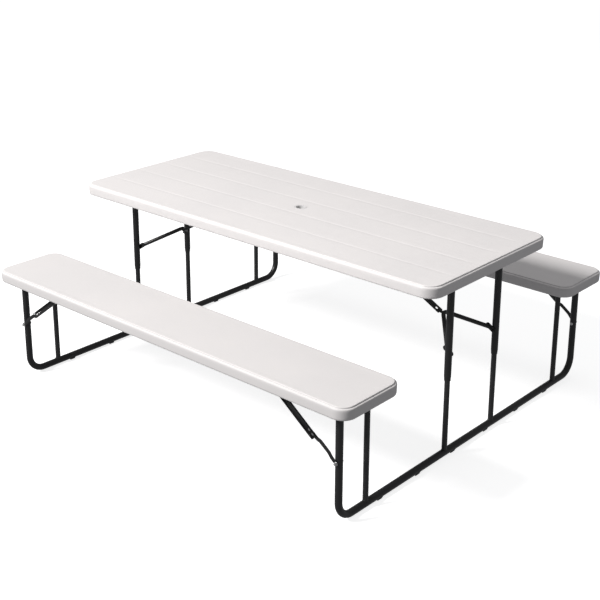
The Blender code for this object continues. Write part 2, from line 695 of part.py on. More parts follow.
def bench_link():
    """A channel with its web beside the bar and its flanges turned outwards."""
    half = BENCH_LINK_WIDTH / 2
    start = on_bench_brace(-half, 0)
    end = on_bench_brace(BENCH_LINK + LINK_OVERRUN, 0)
    section = [(-half, 0), (half, 0), (half, BENCH_LINK_DEPTH), (half - LINK_WALL, BENCH_LINK_DEPTH),
               (half - LINK_WALL, LINK_WALL), (LINK_WALL - half, LINK_WALL),
               (LINK_WALL - half, BENCH_LINK_DEPTH), (-half, BENCH_LINK_DEPTH)]
    up = Vector((-BENCH_SLOPE.z, 0, BENCH_SLOPE.x))
    rings = [[point + up * lift + Vector((0, LINK_Y + out, 0)) for lift, out in section]
             for point in (start, end)]
    bm = bmesh.new()
    skin(bm, rings, False)
    web_y = LINK_Y + LINK_WALL
    pins = [pin_mesh(BENCH_ANCHOR, BAR_Y, web_y, ("high",))]
    for place in (BENCH_ELBOW, on_bench_brace(BENCH_LINK - STOP_RIVET, 0)):
        pins.append(pin_mesh(place, LINK_Y + LINK_WALL / 2, web_y, ("high",)))
    return boolean(new_mesh("channel", bm), pins, "UNION")


def bench_bar():
    """A flat bar with a small set in it, from the elbow to the outer leg's bolt."""
    span = BENCH_LINK + BAR_LINK
    line = [on_bench_brace(along, lift) for along, lift in (
        (BENCH_LINK, 0), (BENCH_LINK + BAR_STRAIGHT, 0), (BENCH_LINK + BAR_STRAIGHT + BAR_SET, BAR_JOG),
        (span - BAR_STRAIGHT - BAR_RETURN, BAR_JOG), (span - BAR_STRAIGHT, 0), (span, 0))]
    bm = bmesh.new()
    add_prism(bm, strip_outline(line, BAR_WIDTH / 2), BAR_Y, BAR_Y + BAR)
    holes = [cross_hole(place.x, place.z, radius + HOLE_FIT, BAR_Y - CUT_REACH, BAR_Y + CUT_REACH)
             for place, radius in ((BENCH_ELBOW, PIN_R), (BENCH_BOLT, BOLT_R))]
    return boolean(new_mesh("bar", bm), holes)


def bench_anchor():
    """An angle bracket: an ear beside the link and a foot under the bench's panel, turned inwards."""
    panel_z = BENCH_RIM_Z + RECESS_DEPTH - GAP
    ear_low = BAR_Y
    ear_high = LINK_Y - GAP
    foot_y = ear_low - BENCH_ANCHOR_FOOT
    low_z = BENCH_ANCHOR.z - BENCH_ANCHOR_LIP
    rows = [(ear_low, low_z), (ear_high, low_z), (ear_high, panel_z), (foot_y, panel_z),
            (foot_y, panel_z - BAR), (ear_low, panel_z - BAR)]
    bm = bmesh.new()
    add_prism(bm, [Vector((BENCH_ANCHOR.x, y, z)) for y, z in rows], -BENCH_ANCHOR_HALF, BENCH_ANCHOR_HALF,
              (1, 0, 0))
    hole = cross_hole(BENCH_ANCHOR.x, BENCH_ANCHOR.z, PIN_R + HOLE_FIT, ear_low - CUT_REACH,
                      ear_high + CUT_REACH)
    return boolean(new_mesh("angle", bm), [hole])


def leg_bolt():
    """The bolt through an outer leg and the bar: head inside, nut and tip outside."""
    head_y = OUTER_LEG_Y - MAIN_R - GAP
    head = [(BOLT_HEAD_R * 0.6, -BOLT_HEAD), (BOLT_HEAD_R, -BOLT_HEAD * 0.5), (BOLT_HEAD_R, 0), (BOLT_R, 0)]
    profile = head + nut_profile(BAR_Y + BAR + GAP - head_y)
    bm = bmesh.new()
    add_turned(bm, profile, Vector((BENCH_BOLT.x, head_y, BENCH_BOLT.z)), (0, 1, 0), False, HOLE_SIDES)
    return new_mesh("bolt", bm)


# ---- the whole table ----------------------------------------------------------------------------
def build_boards(white, grey):
    benches = joint_empty("benches", Vector((0, 0, 0)))
    table = joint_empty("table_drop_axis", Vector((0, 0, TABLE_RIM_Z)))
    top = board(TABLE_LENGTH, TABLE_WIDTH, TABLE_TOP_Z, TABLE_THICKNESS, TABLE_CORNER_R, TABLE_RIM,
                TABLE_PAD_REACH, HOLE_R + RING_WALL + GAP)
    add_object("table_top", top, table, white)
    add_object("umbrella_hole_ring", umbrella_ring(), table, grey)
    seat = board(BENCH_LENGTH, BENCH_WIDTH, BENCH_TOP_Z, BENCH_THICKNESS, BENCH_CORNER_R, BENCH_RIM,
                 BENCH_PAD_REACH, 0)
    for name, sign in (("front", -1), ("back", 1)):
        moved = seat.copy()
        moved.transform(Matrix.Translation((0, sign * BENCH_Y, 0)))
        add_object(name + "_bench_seat", moved, benches, white)
    return benches, table


def build_end(side, flip, benches, table, black, steel):
    """All pieces of one end; flip mirrors the +X shapes for the -X end."""
    def place(name, mesh, joint, colour):
        add_object(side + "_" + name, flip(mesh), joint, colour)

    def axis(name, point):
        sign = 1 if side == "right" else -1
        return joint_empty(side + "_" + name, Vector((sign * point.x, point.y, point.z)))

    frame = axis("frame_axis", Vector((FRAME_X, 0, BENCH_HINGE_Z)))
    legs = axis("leg_slide_axis", Vector((FRAME_X, 0, SLEEVE_END_Z)))
    hangers = axis("table_hinge_axis", Vector((FRAME_X, 0, TABLE_HINGE_Z)))
    link = axis("table_link_axis", TABLE_ANCHOR)
    yoke_joint = axis("yoke_axis", TABLE_BOLT)
    bench_links = axis("bench_link_axis", BENCH_ANCHOR)
    bars = axis("bar_axis", BENCH_BOLT)

    def both(name, mesh, joint, colour):
        """A piece drawn on the +Y side, and its mirror image on the -Y side."""
        place("back_" + name, mesh, joint, colour)
        place("front_" + name, mirrored(mesh, (0, 1, 0)), joint, colour)

    low = INNER_LEG_Y - HINGE_TUBE_END
    high = OUTER_LEG_Y + MAIN_R - GAP
    place("base_tube", base_tube(), frame, black)
    both("inner_leg", inner_leg(1), frame, black)
    both("table_post", table_post(1), frame, black)
    both("bench_hinge_tube", hinge_tube(low, high, BENCH_HINGE_Z), frame, black)
    both("bench_leg_bolt", leg_bolt(), frame, steel)

    middle = (INNER_LEG_Y + OUTER_LEG_Y - MAIN_R + SLIM_R) / 2
    both("bench_saddle", saddle(BENCH_HINGE_Z, middle, BENCH_SADDLE_WIDTH), benches, black)
    both("bench_anchor", bench_anchor(), benches, black)
    both("bench_link", bench_link(), bench_links, black)
    both("bench_bar", bench_bar(), bars, black)

    reach = TABLE_LEG_Y + HINGE_TUBE_END
    both("table_leg", table_leg(1), legs, black)
    place("table_hinge_tube", hinge_tube(-reach, reach, TABLE_HINGE_Z), legs, black)
    both("yoke_bolt", yoke_bolt(), legs, black)
    both("table_saddle", saddle(TABLE_HINGE_Z, TABLE_SADDLE_Y, TABLE_SADDLE_WIDTH), hangers, black)
    place("table_anchor", table_anchor_bracket(), table, black)
    place("table_link", table_link(), link, black)
    place("yoke", yoke(), yoke_joint, black)


def main():
    for item in list(bpy.data.objects):
        bpy.data.objects.remove(item, do_unlink=True)
    white = material("white_plastic", (0.80, 0.79, 0.77), 0.45, 0.0)
    grey = material("grey_plastic", (0.62, 0.62, 0.61), 0.45, 0.0)
    black = material("black_powder_coat", (0.022, 0.022, 0.024), 0.42, 0.0)
    steel = material("zinc_steel", (0.62, 0.62, 0.60), 0.35, 0.9)
    benches, table = build_boards(white, grey)
    build_end("right", lambda mesh: mesh, benches, table, black, steel)
    build_end("left", lambda mesh: mirrored(mesh, (1, 0, 0)), benches, table, black, steel)


main()
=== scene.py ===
"""Folding picnic table: the visible pieces, materials, light and camera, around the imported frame."""
import json
import math

import bmesh
import bpy
from mathutils import Matrix, Vector


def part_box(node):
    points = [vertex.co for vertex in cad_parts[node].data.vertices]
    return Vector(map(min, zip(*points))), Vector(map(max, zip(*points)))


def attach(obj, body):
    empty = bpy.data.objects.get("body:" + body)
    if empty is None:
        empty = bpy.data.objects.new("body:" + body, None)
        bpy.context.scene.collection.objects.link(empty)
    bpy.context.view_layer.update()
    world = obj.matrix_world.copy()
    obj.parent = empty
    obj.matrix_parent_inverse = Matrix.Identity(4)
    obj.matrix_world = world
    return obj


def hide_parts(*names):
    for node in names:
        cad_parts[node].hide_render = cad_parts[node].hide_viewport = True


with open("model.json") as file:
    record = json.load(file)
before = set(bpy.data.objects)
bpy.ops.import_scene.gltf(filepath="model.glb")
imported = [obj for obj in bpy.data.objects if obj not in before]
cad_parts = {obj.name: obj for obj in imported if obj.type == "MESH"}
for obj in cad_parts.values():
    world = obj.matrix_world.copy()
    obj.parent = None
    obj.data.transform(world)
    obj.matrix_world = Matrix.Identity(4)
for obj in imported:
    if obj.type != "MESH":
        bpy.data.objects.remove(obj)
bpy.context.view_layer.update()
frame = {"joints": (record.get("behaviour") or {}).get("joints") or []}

JOINT = {joint["name"]: Vector(joint["pos_m"]) for joint in frame["joints"] if "pos_m" in joint}

# ---- places taken from the frame
FRAME_X = JOINT["right_frame_fold"].x
BENCH_HINGE_Z = JOINT["right_frame_fold"].z
TABLE_HINGE_Z = JOINT["right_table_hinge"].z
TABLE_ANCHOR = JOINT["right_table_link_fold"]
TABLE_BOLT = JOINT["right_yoke_fold"]
BENCH_ANCHOR = JOINT["right_bench_link_fold"]
BENCH_BOLT = JOINT["right_bench_bar_fold"]
POST_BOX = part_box("right_back_table_post")
SLEEVE_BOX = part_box("right_back_table_leg")
INNER_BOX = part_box("right_back_inner_leg")
BENCH_HINGE_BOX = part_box("right_back_bench_hinge_tube")
TABLE_HINGE_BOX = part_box("right_table_hinge_tube")
BENCH_SADDLE_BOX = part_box("right_back_bench_saddle")
TABLE_SADDLE_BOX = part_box("right_back_table_saddle")
BAR_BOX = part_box("right_back_bench_bar")
TABLE_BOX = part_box("table_top")
BENCH_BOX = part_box("back_bench_seat")
RING_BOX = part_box("umbrella_hole_ring")
INNER_LEG_Y = (INNER_BOX[0].y + INNER_BOX[1].y) / 2
TABLE_LEG_Y = (POST_BOX[0].y + POST_BOX[1].y) / 2
BAR_Y = BAR_BOX[0].y
BAR = BAR_BOX[1].y - BAR_BOX[0].y
TABLE_RIM_Z = TABLE_BOX[0].z
BENCH_RIM_Z = BENCH_BOX[0].z

# ---- sizes repeated from the part
GAP = 0.0003
MAIN_R = 0.013
SLIM_R = 0.010
TUBE_WALL = 0.0015
POST_FIT = 0.0005
OUTER_LEG_Y = 0.747
BASE_Z = 0.016
BASE_BEND_R = 0.066
GLIDE_PITCH = 0.2144
GLIDE_COUNT = 6
GLIDE_LENGTH = 0.022
RECESS_DEPTH = 0.020
SADDLE_WALL = 0.0020
SADDLE_FIT = 0.0006
SADDLE_FLANGE = 0.020
SADDLE_DROP = 0.0012
SCREW_INSET = 0.010
LINK_WALL = 0.0018
LINK_NOSE = 0.012
TABLE_LINK_HALF = 0.0045
TABLE_LINK_SIDE = 0.011
TABLE_ANCHOR_HALF = 0.011
TABLE_ANCHOR_FOOT = 0.014
BENCH_ANCHOR_HALF = 0.014
BENCH_ANCHOR_FOOT = 0.018
BENCH_ANCHOR_LIP = 0.009
BENCH_LINK_HALF = 0.011
BENCH_LINK_DEPTH = 0.010
BENCH_LINK_OVERRUN = 0.012
BAR_HALF = 0.007
STOP_RIVET = 0.018
BOLT_R = 0.0035
PIN_R = 0.0030
YOKE_R = 0.0080
YOKE_APEX = 0.146
YOKE_LIFT = 0.0095
YOKE_BEND_R = 0.020
YOKE_EYE_R = 0.010
YOKE_EYE = 0.003
YOKE_EYE_REACH = 0.018
TONGUE = 0.0055
TONGUE_HALF = 0.004
HOLE_R = 0.019
RING_WALL = 0.0022
RING_FLANGE = 0.0016
RING_FLANGE_R = (RING_BOX[1].x - RING_BOX[0].x) / 2
LINK_Y = BAR_Y + BAR + GAP

# ---- what only the visible pieces have
ROUND = 48
SMALL_ROUND = 28
BEND_STEPS = 18
COPE_GAP = 0.0004
WELD_R = 0.0022
WELD_SLIM = 0.58
# how strongly shade is painted onto the boards' walls and shoulders, which face less upward
WALL_PAINTED_SHADE = 0.48

SIDES = (("right", 1), ("left", -1))
ENDS = (("back", 1), ("front", -1))

# ---- light and camera
FLOOR_Z = -0.0002
FLOOR_REACH = 9.0
FLOOR_CURVE = 5.0
FLOOR_GLOW = 0.80
AMBIENT_LOW = 0.31
AMBIENT_HIGH = 0.25
AMBIENT_TONE = (0.96, 0.97, 1.0, 1)
KEY_PLACE = (-3.0, -7.5, 6.45)
KEY_SIZE = 2.0
KEY_POWER = 1290.0
KEY_TONE = (1.0, 0.99, 0.98)
TOP_PLACE = (0.6, 1.6, 5.6)
TOP_SIZE = 3.0
TOP_POWER = 34.0
TOP_TONE = (1.0, 1.0, 1.0)
LIGHT_TARGET = (0, 0, 0.5)
CAMERA_PLACE = (2.9516, -3.3560, 2.1726)
CAMERA_PITCH = -0.3102
CAMERA_YAW = 0.7346
CAMERA_LENS = 71.35
CAMERA_SHIFT = (0.0235, -0.16)


# ---- node materials
class Nodes:
    """A short way to add nodes and links to the tree of a material or a world."""

    def __init__(self, owner, shader="Principled BSDF"):
        owner.use_nodes = True
        self.owner = owner
        self.tree = owner.node_tree
        self.shader = self.tree.nodes[shader]

    def add(self, kind, inputs=None, **settings):
        made = self.tree.nodes.new("ShaderNode" + kind)
        for key, value in settings.items():
            setattr(made, key, value)
        return self.fill(made, inputs or {})

    def fill(self, node, inputs):
        for key, value in inputs.items():
            self.put(node.inputs[key], value)
        return node

    def surface(self, inputs):
        """Set the shader's inputs, and return the tree's owner."""
        self.fill(self.shader, inputs)
        return self.owner

    def put(self, socket, value):
        if isinstance(value, bpy.types.NodeSocket):
            self.tree.links.new(value, socket)
        else:
            socket.default_value = value

    def maths(self, operation, first, second, third=None):
        made = self.add("Math", operation=operation)
        self.put(made.inputs[0], first)
        self.put(made.inputs[1], second)
        if third is not None:
            self.put(made.inputs[2], third)
        return made.outputs[0]

    def place(self, scale):
        """Object coordinates, stretched by a scale along each axis."""
        where = self.add("TexCoord").outputs["Object"]
        return self.add("Mapping", {"Vector": where, "Scale": scale}).outputs["Vector"]

    def noise(self, scale, detail=2.0, rough=0.5, stretch=(1, 1, 1), warp=0.0):
        made = self.add("TexNoise", {"Vector": self.place(stretch), "Scale": scale, "Detail": detail,
                                     "Roughness": rough, "Distortion": warp})
        return made.outputs["Fac"]

    def spread(self, value, low, high, out_low=0.0, out_high=1.0):
        made = self.add("MapRange", {"Value": value, "From Min": low, "From Max": high,
                                     "To Min": out_low, "To Max": out_high})
        return made.outputs["Result"]

    def blend(self, factor, first, second):
        made = self.add("Mix", data_type="RGBA")
        self.put(made.inputs[0], factor)
        self.put(made.inputs[6], first)
        self.put(made.inputs[7], second)
        return made.outputs[2]

    def bump(self, height, distance, strength=1.0, onto=None):
        inputs = {"Height": height, "Distance": distance, "Strength": strength}
        if onto is not None:
            inputs["Normal"] = onto
        return self.add("Bump", inputs).outputs["Normal"]


def tinted(tone, *scales):
    """A tone with its channels scaled, as a socket's colour."""
    return (*(channel * scale for channel, scale in zip(tone, scales)), 1)


def plastic(name, tone, grain):
    """Blow-moulded polyethylene: a soft pebble, faint cloudiness, painted shade on the walls and shoulders,
    and grain on a table.
    """
    n = Nodes(bpy.data.materials.new(name))
    warm = (*tone, 1)
    cool = tinted(tone, 0.962, 0.966, 0.970)
    cloud = n.spread(n.noise(2.4, 3.0, 0.55), 0.35, 0.65)
    colour = n.blend(cloud, warm, cool)
    speck = n.spread(n.noise(520.0, 1.0, 0.5), 0.30, 0.70, 0.0, 0.16)
    colour = n.blend(speck, colour, tinted(tone, 0.86, 0.86, 0.86))
    up = n.add("SeparateXYZ", {"Vector": n.add("TexCoord").outputs["Normal"]}).outputs["Z"]
    # painted shade: the less a surface faces up, the further its colour is blended towards a darker tone, so
    # the walls and shoulders look shaded
    wall = n.spread(up, 0.60, 0.985, WALL_PAINTED_SHADE, 0.0)
    colour = n.blend(wall, colour, tinted(tone, 0.55, 0.555, 0.565))
    pebble = n.noise(780.0, 2.0, 0.6)
    normal = n.bump(pebble, 0.00009, 0.7)
    rough = n.spread(n.noise(34.0, 3.0, 0.6), 0.3, 0.7, 0.46, 0.58)
    if grain:
        streak = n.noise(9.0, 5.0, 0.62, (1.0, 34.0, 1.0), 0.35)
        fine = n.noise(30.0, 3.0, 0.6, (0.6, 26.0, 1.0), 0.1)
        wood = n.maths("MULTIPLY_ADD", fine, 0.45, streak)
        on_top = n.spread(up, 0.93, 0.995)
        line = n.maths("MULTIPLY", n.spread(wood, 0.58, 0.92), on_top)
        normal = n.bump(line, 0.00035, 0.55, normal)
        colour = n.blend(n.maths("MULTIPLY", line, 0.16), colour, tinted(tone, 0.90, 0.885, 0.88))
    edge = n.add("NewGeometry").outputs["Pointiness"]
    worn = n.spread(edge, 0.515, 0.60)
    rough = n.maths("SUBTRACT", rough, n.maths("MULTIPLY", worn, 0.12))
    return n.surface({"Base Color": colour, "Roughness": rough, "Normal": normal,
                      "Specular IOR Level": 0.42})


def powder_coat(name):
    """Black powder coat: fine orange peel, a soft gloss, thinner on sharp edges."""
    n = Nodes(bpy.data.materials.new(name))
    dust = n.spread(n.noise(11.0, 4.0, 0.6), 0.42, 0.75)
    colour = n.blend(dust, (0.0075, 0.0075, 0.0080, 1), (0.0120, 0.0118, 0.0116, 1))
    edge = n.spread(n.add("NewGeometry").outputs["Pointiness"], 0.53, 0.66)
    chip = n.maths("MULTIPLY", edge, n.spread(n.noise(260.0, 3.0, 0.7), 0.45, 0.65, 0.0, 0.55))
    colour = n.blend(chip, colour, (0.050, 0.050, 0.052, 1))
    peel = n.noise(620.0, 2.0, 0.5)
    sand = n.noise(2600.0, 1.0, 0.5)
    normal = n.bump(peel, 0.00006, 0.8)
    normal = n.bump(sand, 0.000012, 0.6, normal)
    rough = n.spread(n.noise(46.0, 4.0, 0.6), 0.3, 0.7, 0.34, 0.46)
    return n.surface({"Base Color": colour, "Roughness": rough, "Normal": normal,
                      "Specular IOR Level": 0.5})


def zinc(name):
    """Bright zinc plate: a light brushed sheen with a duller bloom in places."""
    n = Nodes(bpy.data.materials.new(name))
    bloom = n.spread(n.noise(190.0, 3.0, 0.6), 0.40, 0.70)
    colour = n.blend(bloom, (0.66, 0.66, 0.65, 1), (0.46, 0.46, 0.47, 1))
    brushed = n.noise(900.0, 2.0, 0.6, (1.0, 0.15, 1.0))
    rough = n.spread(n.noise(240.0, 3.0, 0.6), 0.3, 0.7, 0.24, 0.42)
    return n.surface({"Base Color": colour, "Roughness": rough, "Metallic": 1.0,
                      "Normal": n.bump(brushed, 0.00004, 0.6)})


def rubber(name):
    """The dark plastic of the glides: matt, a little scuffed."""
    n = Nodes(bpy.data.materials.new(name))
    scuff = n.spread(n.noise(150.0, 4.0, 0.65), 0.45, 0.72)
    return n.surface({"Base Color": n.blend(scuff, (0.016, 0.016, 0.017, 1), (0.042, 0.041, 0.040, 1)),
                      "Roughness": n.spread(scuff, 0.0, 1.0, 0.55, 0.72),
                      "Normal": n.bump(n.noise(900.0, 2.0, 0.5), 0.00005, 0.7)})


def pale_floor(name):
    """A plain white studio floor that takes a soft shadow."""
    n = Nodes(bpy.data.materials.new(name))
    tone = n.spread(n.noise(0.9, 2.0, 0.5), 0.3, 0.7)
    return n.surface({"Base Color": n.blend(tone, (0.52, 0.52, 0.52, 1), (0.515, 0.515, 0.515, 1)),
                      "Roughness": 0.9, "Specular IOR Level": 0.0, "Emission Color": (1, 1, 1, 1),
                      "Emission Strength": FLOOR_GLOW})


TABLE_PLASTIC = plastic("moulded_plastic_table", (0.820, 0.790, 0.780), True)
BENCH_PLASTIC = plastic("moulded_plastic_bench", (0.745, 0.718, 0.709), False)
RING_PLASTIC = plastic("ring_plastic_look", (0.700, 0.685, 0.680), False)
COAT = powder_coat("powder_coat_look")
ZINC = zinc("zinc_look")
RUBBER = rubber("glide_look")
LOOK = {"white_plastic": BENCH_PLASTIC, "ring_plastic": RING_PLASTIC, "black_powder_coat": COAT,
        "zinc_steel": ZINC}


# ---- mesh helpers
def mesh_of(name, bm):
    mesh = bpy.data.meshes.new(name)
    bm.to_mesh(mesh)
    bm.free()
    return mesh


def placed(name, data):
    """A new object in the scene."""
    made = bpy.data.objects.new(name, data)
    bpy.context.scene.collection.objects.link(made)
    return made


def applied(made):
    """The object's mesh with its modifiers applied."""
    return bpy.data.meshes.new_from_object(made.evaluated_get(bpy.context.evaluated_depsgraph_get()))


def drawn(maker):
    """Give a maker that fills in a bmesh a new one, and return it."""
    def draw(*values):
        bm = bmesh.new()
        maker(bm, *values)
        return bm
    return draw


def piece(name, bm, body, slot, stands_for=(), flip=(1, 1), look=None, bevel=0.0, crease=35):
    """Make a shown piece from a bmesh: mirrored, bevelled, given its material, riding on its body."""
    bmesh.ops.recalc_face_normals(bm, faces=bm.faces)
    mesh = mesh_of(name, bm)
    mesh.transform(Matrix.Diagonal((flip[0], flip[1], 1, 1)))
    if flip[0] * flip[1] < 0:
        mesh.flip_normals()
    made = placed(name, mesh)
    if bevel:
        rounder = made.modifiers.new("edge", "BEVEL")
        rounder.width = bevel
        rounder.segments = 2
        rounder.limit_method = "ANGLE"
        rounder.angle_limit = math.radians(38)
        mesh = applied(made)
        made.modifiers.clear()
        made.data = mesh
    mesh.shade_smooth()
    mesh.set_sharp_from_angle(angle=math.radians(crease))
    mesh.materials.clear()
    mesh.materials.append(look or LOOK[slot])
    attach(made, body)
    if stands_for:
        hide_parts(*stands_for)


def skin(bm, rings, closed_ends=False, closed_loop=False):
    """Join rings of points with quads, and return the rings as vertices."""
    rows = [[bm.verts.new(point) for point in ring] for ring in rings]
    pairs = list(zip(rows, rows[1:]))
    if closed_loop:
        pairs.append((rows[-1], rows[0]))
    for low, high in pairs:
        for i in range(len(low)):
            j = (i + 1) % len(low)
            bm.faces.new((low[i], low[j], high[j], high[i]))
    if closed_ends:
        bm.faces.new(rows[0])
        bm.faces.new(rows[-1])
    return rows


def at_y(point, y):
    """A point moved across the table."""
    return Vector((point.x, y, point.z))


def beside_frame(places):
    """Points from (distance from the frame's middle, z)."""
    return [Vector((FRAME_X + x, 0, z)) for x, z in places]


def circle(radius, sides):
    turn = 2 * math.pi / sides
    return [(radius * math.cos(turn * i), radius * math.sin(turn * i)) for i in range(sides)]


def turned(bm, profile, centre, axis, sides=SMALL_ROUND, ring=False):
    """Revolve (radius, height) points about an axis; ring makes a bored part, else it is solid."""
    turn = Vector((0, 0, 1)).rotation_difference(Vector(axis)).to_matrix()
    rings = []
    for radius, height in profile:
        rings.append([centre + turn @ Vector((x, y, height)) for x, y in circle(radius, sides)])
    skin(bm, rings, not ring, ring)


def swept(path, normal, radius, bore, sides):
    """Rings of a tube swept along a flat path: the outer rings, then the bore's rings."""
    side = Vector(normal).normalized()
    outer = []
    inner = []
    for i, point in enumerate(path):
        before = (point - path[i - 1]).normalized() if i else None
        after = (path[i + 1] - point).normalized() if i + 1 < len(path) else None
        along = (before + after).normalized() if before and after else (before or after)
        up = side.cross(along)
        for rings, size in ((outer, radius), (inner, bore)):
            rings.append([point + side * x + up * y for x, y in circle(size, sides)])
    return outer, inner


def fillet_path(corners, radius, steps):
    """A path through corners, each inner corner rounded by an arc."""
    path = [corners[0]]
    for before, corner, after in zip(corners, corners[1:], corners[2:]):
        to_start = (before - corner).normalized()
        to_end = (after - corner).normalized()
        half = to_start.angle(to_end) / 2
        centre = corner + (to_start + to_end).normalized() * radius / math.sin(half)
        first = corner + to_start * radius / math.tan(half) - centre
        last = corner + to_end * radius / math.tan(half) - centre
        sweep = first.angle(last)
        axis = first.cross(last).normalized()
        for i in range(steps + 1):
            path.append(centre + Matrix.Rotation(sweep * i / steps, 3, axis) @ first)
    path.append(corners[-1])
    return path


def coped(ring, axis_z, above):
    """Drop a ring's points onto a tube that runs along Y at FRAME_X."""
    reach = MAIN_R - COPE_GAP
    for point in ring:
        rise = math.sqrt(max(reach ** 2 - (point.x - FRAME_X) ** 2, 0))
        point.z = axis_z + rise if above else axis_z - rise


@drawn
def upright(bm, y, outer, bore, foot=None, head=None):
    """A vertical tube from (radius, z) points; foot and head are heights of the tubes it is coped to."""
    rings = [[Vector((FRAME_X + x, y + dy, z)) for x, dy in circle(radius, ROUND)]
             for radius, z in outer + bore[::-1]]
    if foot:
        coped(rings[0], foot, True)
        coped(rings[-1], foot, True)
    if head:
        coped(rings[len(outer) - 1], head, False)
        coped(rings[len(outer)], head, False)
    skin(bm, rings, False, True)


def weld(bm, y, radius, axis_z, above):
    """A rippled bead round the joint of a vertical tube and a tube along Y.

    It is slimmer on the side that lies against a board when the frame is folded.
    """
    steps = 96
    rings = []
    for i in range(steps):
        turn = 2 * math.pi * i / steps
        x = radius * math.cos(turn)
        rise = math.sqrt(max(MAIN_R ** 2 - min(x * x, MAIN_R ** 2), 0))
        centre = Vector((FRAME_X + x, y + radius * math.sin(turn), axis_z + (rise if above else -rise)))
        out = Vector((math.cos(turn), math.sin(turn), 0))
        lift = Vector((0, 0, 1 if above else -1))
        slim = 1 - WELD_SLIM * max(-math.cos(turn), 0)
        size = WELD_R * slim * (1 + 0.13 * math.sin(22 * turn) + 0.08 * math.sin(7 * turn + y * 40))
        rings.append([centre + out * px * size + lift * py * size for px, py in circle(1, 10)])
    skin(bm, rings, False, True)


def prism(bm, outline, low, high, across=(0, 1, 0)):
    """Push a flat outline from low to high along a direction."""
    shift = Vector(across)
    skin(bm, [[point + shift * low for point in outline], [point + shift * high for point in outline]], True)


def arc_points(centre, radius, start_deg, end_deg, steps):
    """Points on an arc in the XZ plane; angles turn from +X towards +Z."""
    angles = [math.radians(start_deg + (end_deg - start_deg) * i / steps) for i in range(steps + 1)]
    return [centre + Vector((math.cos(a), 0, math.sin(a))) * radius for a in angles]


def strip(centre_line, half, start_cap=True, end_cap=True, steps=14):
    """Outline of a strip in the XZ plane along a centre line, with round or square ends."""
    left = []
    right = []
    for i, point in enumerate(centre_line):
        near = centre_line[max(i - 1, 0)]
        far = centre_line[min(i + 1, len(centre_line) - 1)]
        along = (far - near).normalized()
        up = Vector((-along.z, 0, along.x))
        left.append(point + up * half)
        right.append(point - up * half)
    first = centre_line[1] - centre_line[0]
    last = centre_line[-1] - centre_line[-2]
    first_deg = math.degrees(math.atan2(first.z, first.x))
    last_deg = math.degrees(math.atan2(last.z, last.x))
    start = []
    end = []
    if start_cap:
        start = arc_points(centre_line[0], half, first_deg + 90, first_deg + 270, steps)[1:-1]
    if end_cap:
        end = arc_points(centre_line[-1], half, last_deg - 90, last_deg + 90, steps)[1:-1]
    return left[::-1] + start + right + end


def cut(mesh_bm, cutter_bms):
    """Subtract closed shapes from a closed shape with the exact solver."""
    meshes = []
    for bm in [mesh_bm] + cutter_bms:
        bmesh.ops.recalc_face_normals(bm, faces=bm.faces)
        meshes.append(mesh_of("work", bm))
    body = placed("work", meshes[0])
    tools = []
    for mesh in meshes[1:]:
        tool = placed("tool", mesh)
        modifier = body.modifiers.new("cut", "BOOLEAN")
        modifier.operation = "DIFFERENCE"
        modifier.solver = "EXACT"
        modifier.object = tool
        tools.append(tool)
    bpy.context.view_layer.update()
    result = applied(body)
    for item in tools + [body]:
        bpy.data.objects.remove(item, do_unlink=True)
    bm = bmesh.new()
    bm.from_mesh(result)
    bpy.data.meshes.remove(result)
    return bm


# ---- fasteners
def screw_template():
    """A pan-head screw, head down, its seat at the origin, with a cross recess."""
    bm = bmesh.new()
    turned(bm, [(0.0021, -0.0002), (0.0040, 0.0), (0.0042, 0.0006), (0.0039, 0.0013), (0.0031, 0.0019),
                (0.0018, 0.0023), (0.0006, 0.0024)], Vector((0, 0, 0)), (0, 0, -1))
    slots = []
    for size in ((0.0044, 0.0009, 0.0030), (0.0009, 0.0044, 0.0030)):
        box = bmesh.new()
        bmesh.ops.create_cube(box, size=1)
        bmesh.ops.scale(box, vec=size, verts=box.verts)
        bmesh.ops.translate(box, vec=(0, 0, -0.0027), verts=box.verts)
        slots.append(box)
    return mesh_of("screw", cut(bm, slots))


SCREW = screw_template()


def add_screws(bm, places, turn_deg=20):
    """Copies of the screw at each place, each turned a little further than the last."""
    for i, place in enumerate(places):
        before = set(bm.verts)
        bm.from_mesh(SCREW)
        fresh = [v for v in bm.verts if v not in before]
        bmesh.ops.rotate(bm, verts=fresh, cent=(0, 0, 0),
                         matrix=Matrix.Rotation(math.radians(turn_deg * (i + 1) * 1.7), 3, "Z"))
        bmesh.ops.translate(bm, verts=fresh, vec=place)


def rivet_head(bm, place, direction, radius, height):
    """A domed head standing on its place."""
    profile = [(radius * 0.98, -0.0002)]
    for i in range(6):
        turn = math.radians(i * 15)
        profile.append((radius * math.cos(turn), height * math.sin(turn)))
    profile.append((radius * 0.05, height))
    turned(bm, profile, place, direction)


def hex_nut(bm, place, direction, height, across=0.0062):
    """A hexagon nut with chamfered corners, its face at place."""
    turn = Vector((0, 0, 1)).rotation_difference(Vector(direction)).to_matrix()
    rings = []
    for radius, z, hexed in ((across * 0.86, 0, 0), (across, 0.0006, 1), (across, height - 0.0006, 1),
                             (across * 0.84, height, 0), (BOLT_R + 0.0003, height, 0)):
        ring = []
        for i in range(36):
            angle = 2 * math.pi * i / 36
            flat = math.cos(math.pi / 6) / math.cos((angle % (math.pi / 3)) - math.pi / 6)
            size = radius * (flat if hexed else 1)
            size = min(size, across * flat)
            ring.append(place + turn @ Vector((size * math.cos(angle), size * math.sin(angle), z)))
        rings.append(ring)
    skin(bm, rings, True)


def thread(bm, place, direction, length):
    """A bolt's threaded tip with a chamfered end."""
    profile = [(BOLT_R, 0)]
    pitch = 0.0010
    for i in range(int(length / pitch)):
        profile.append((BOLT_R - 0.0004, pitch * (i + 0.5)))
        profile.append((BOLT_R, pitch * (i + 1)))
    profile.append((BOLT_R * 0.62, profile[-1][1] + 0.0006))
    turned(bm, profile, place, direction)


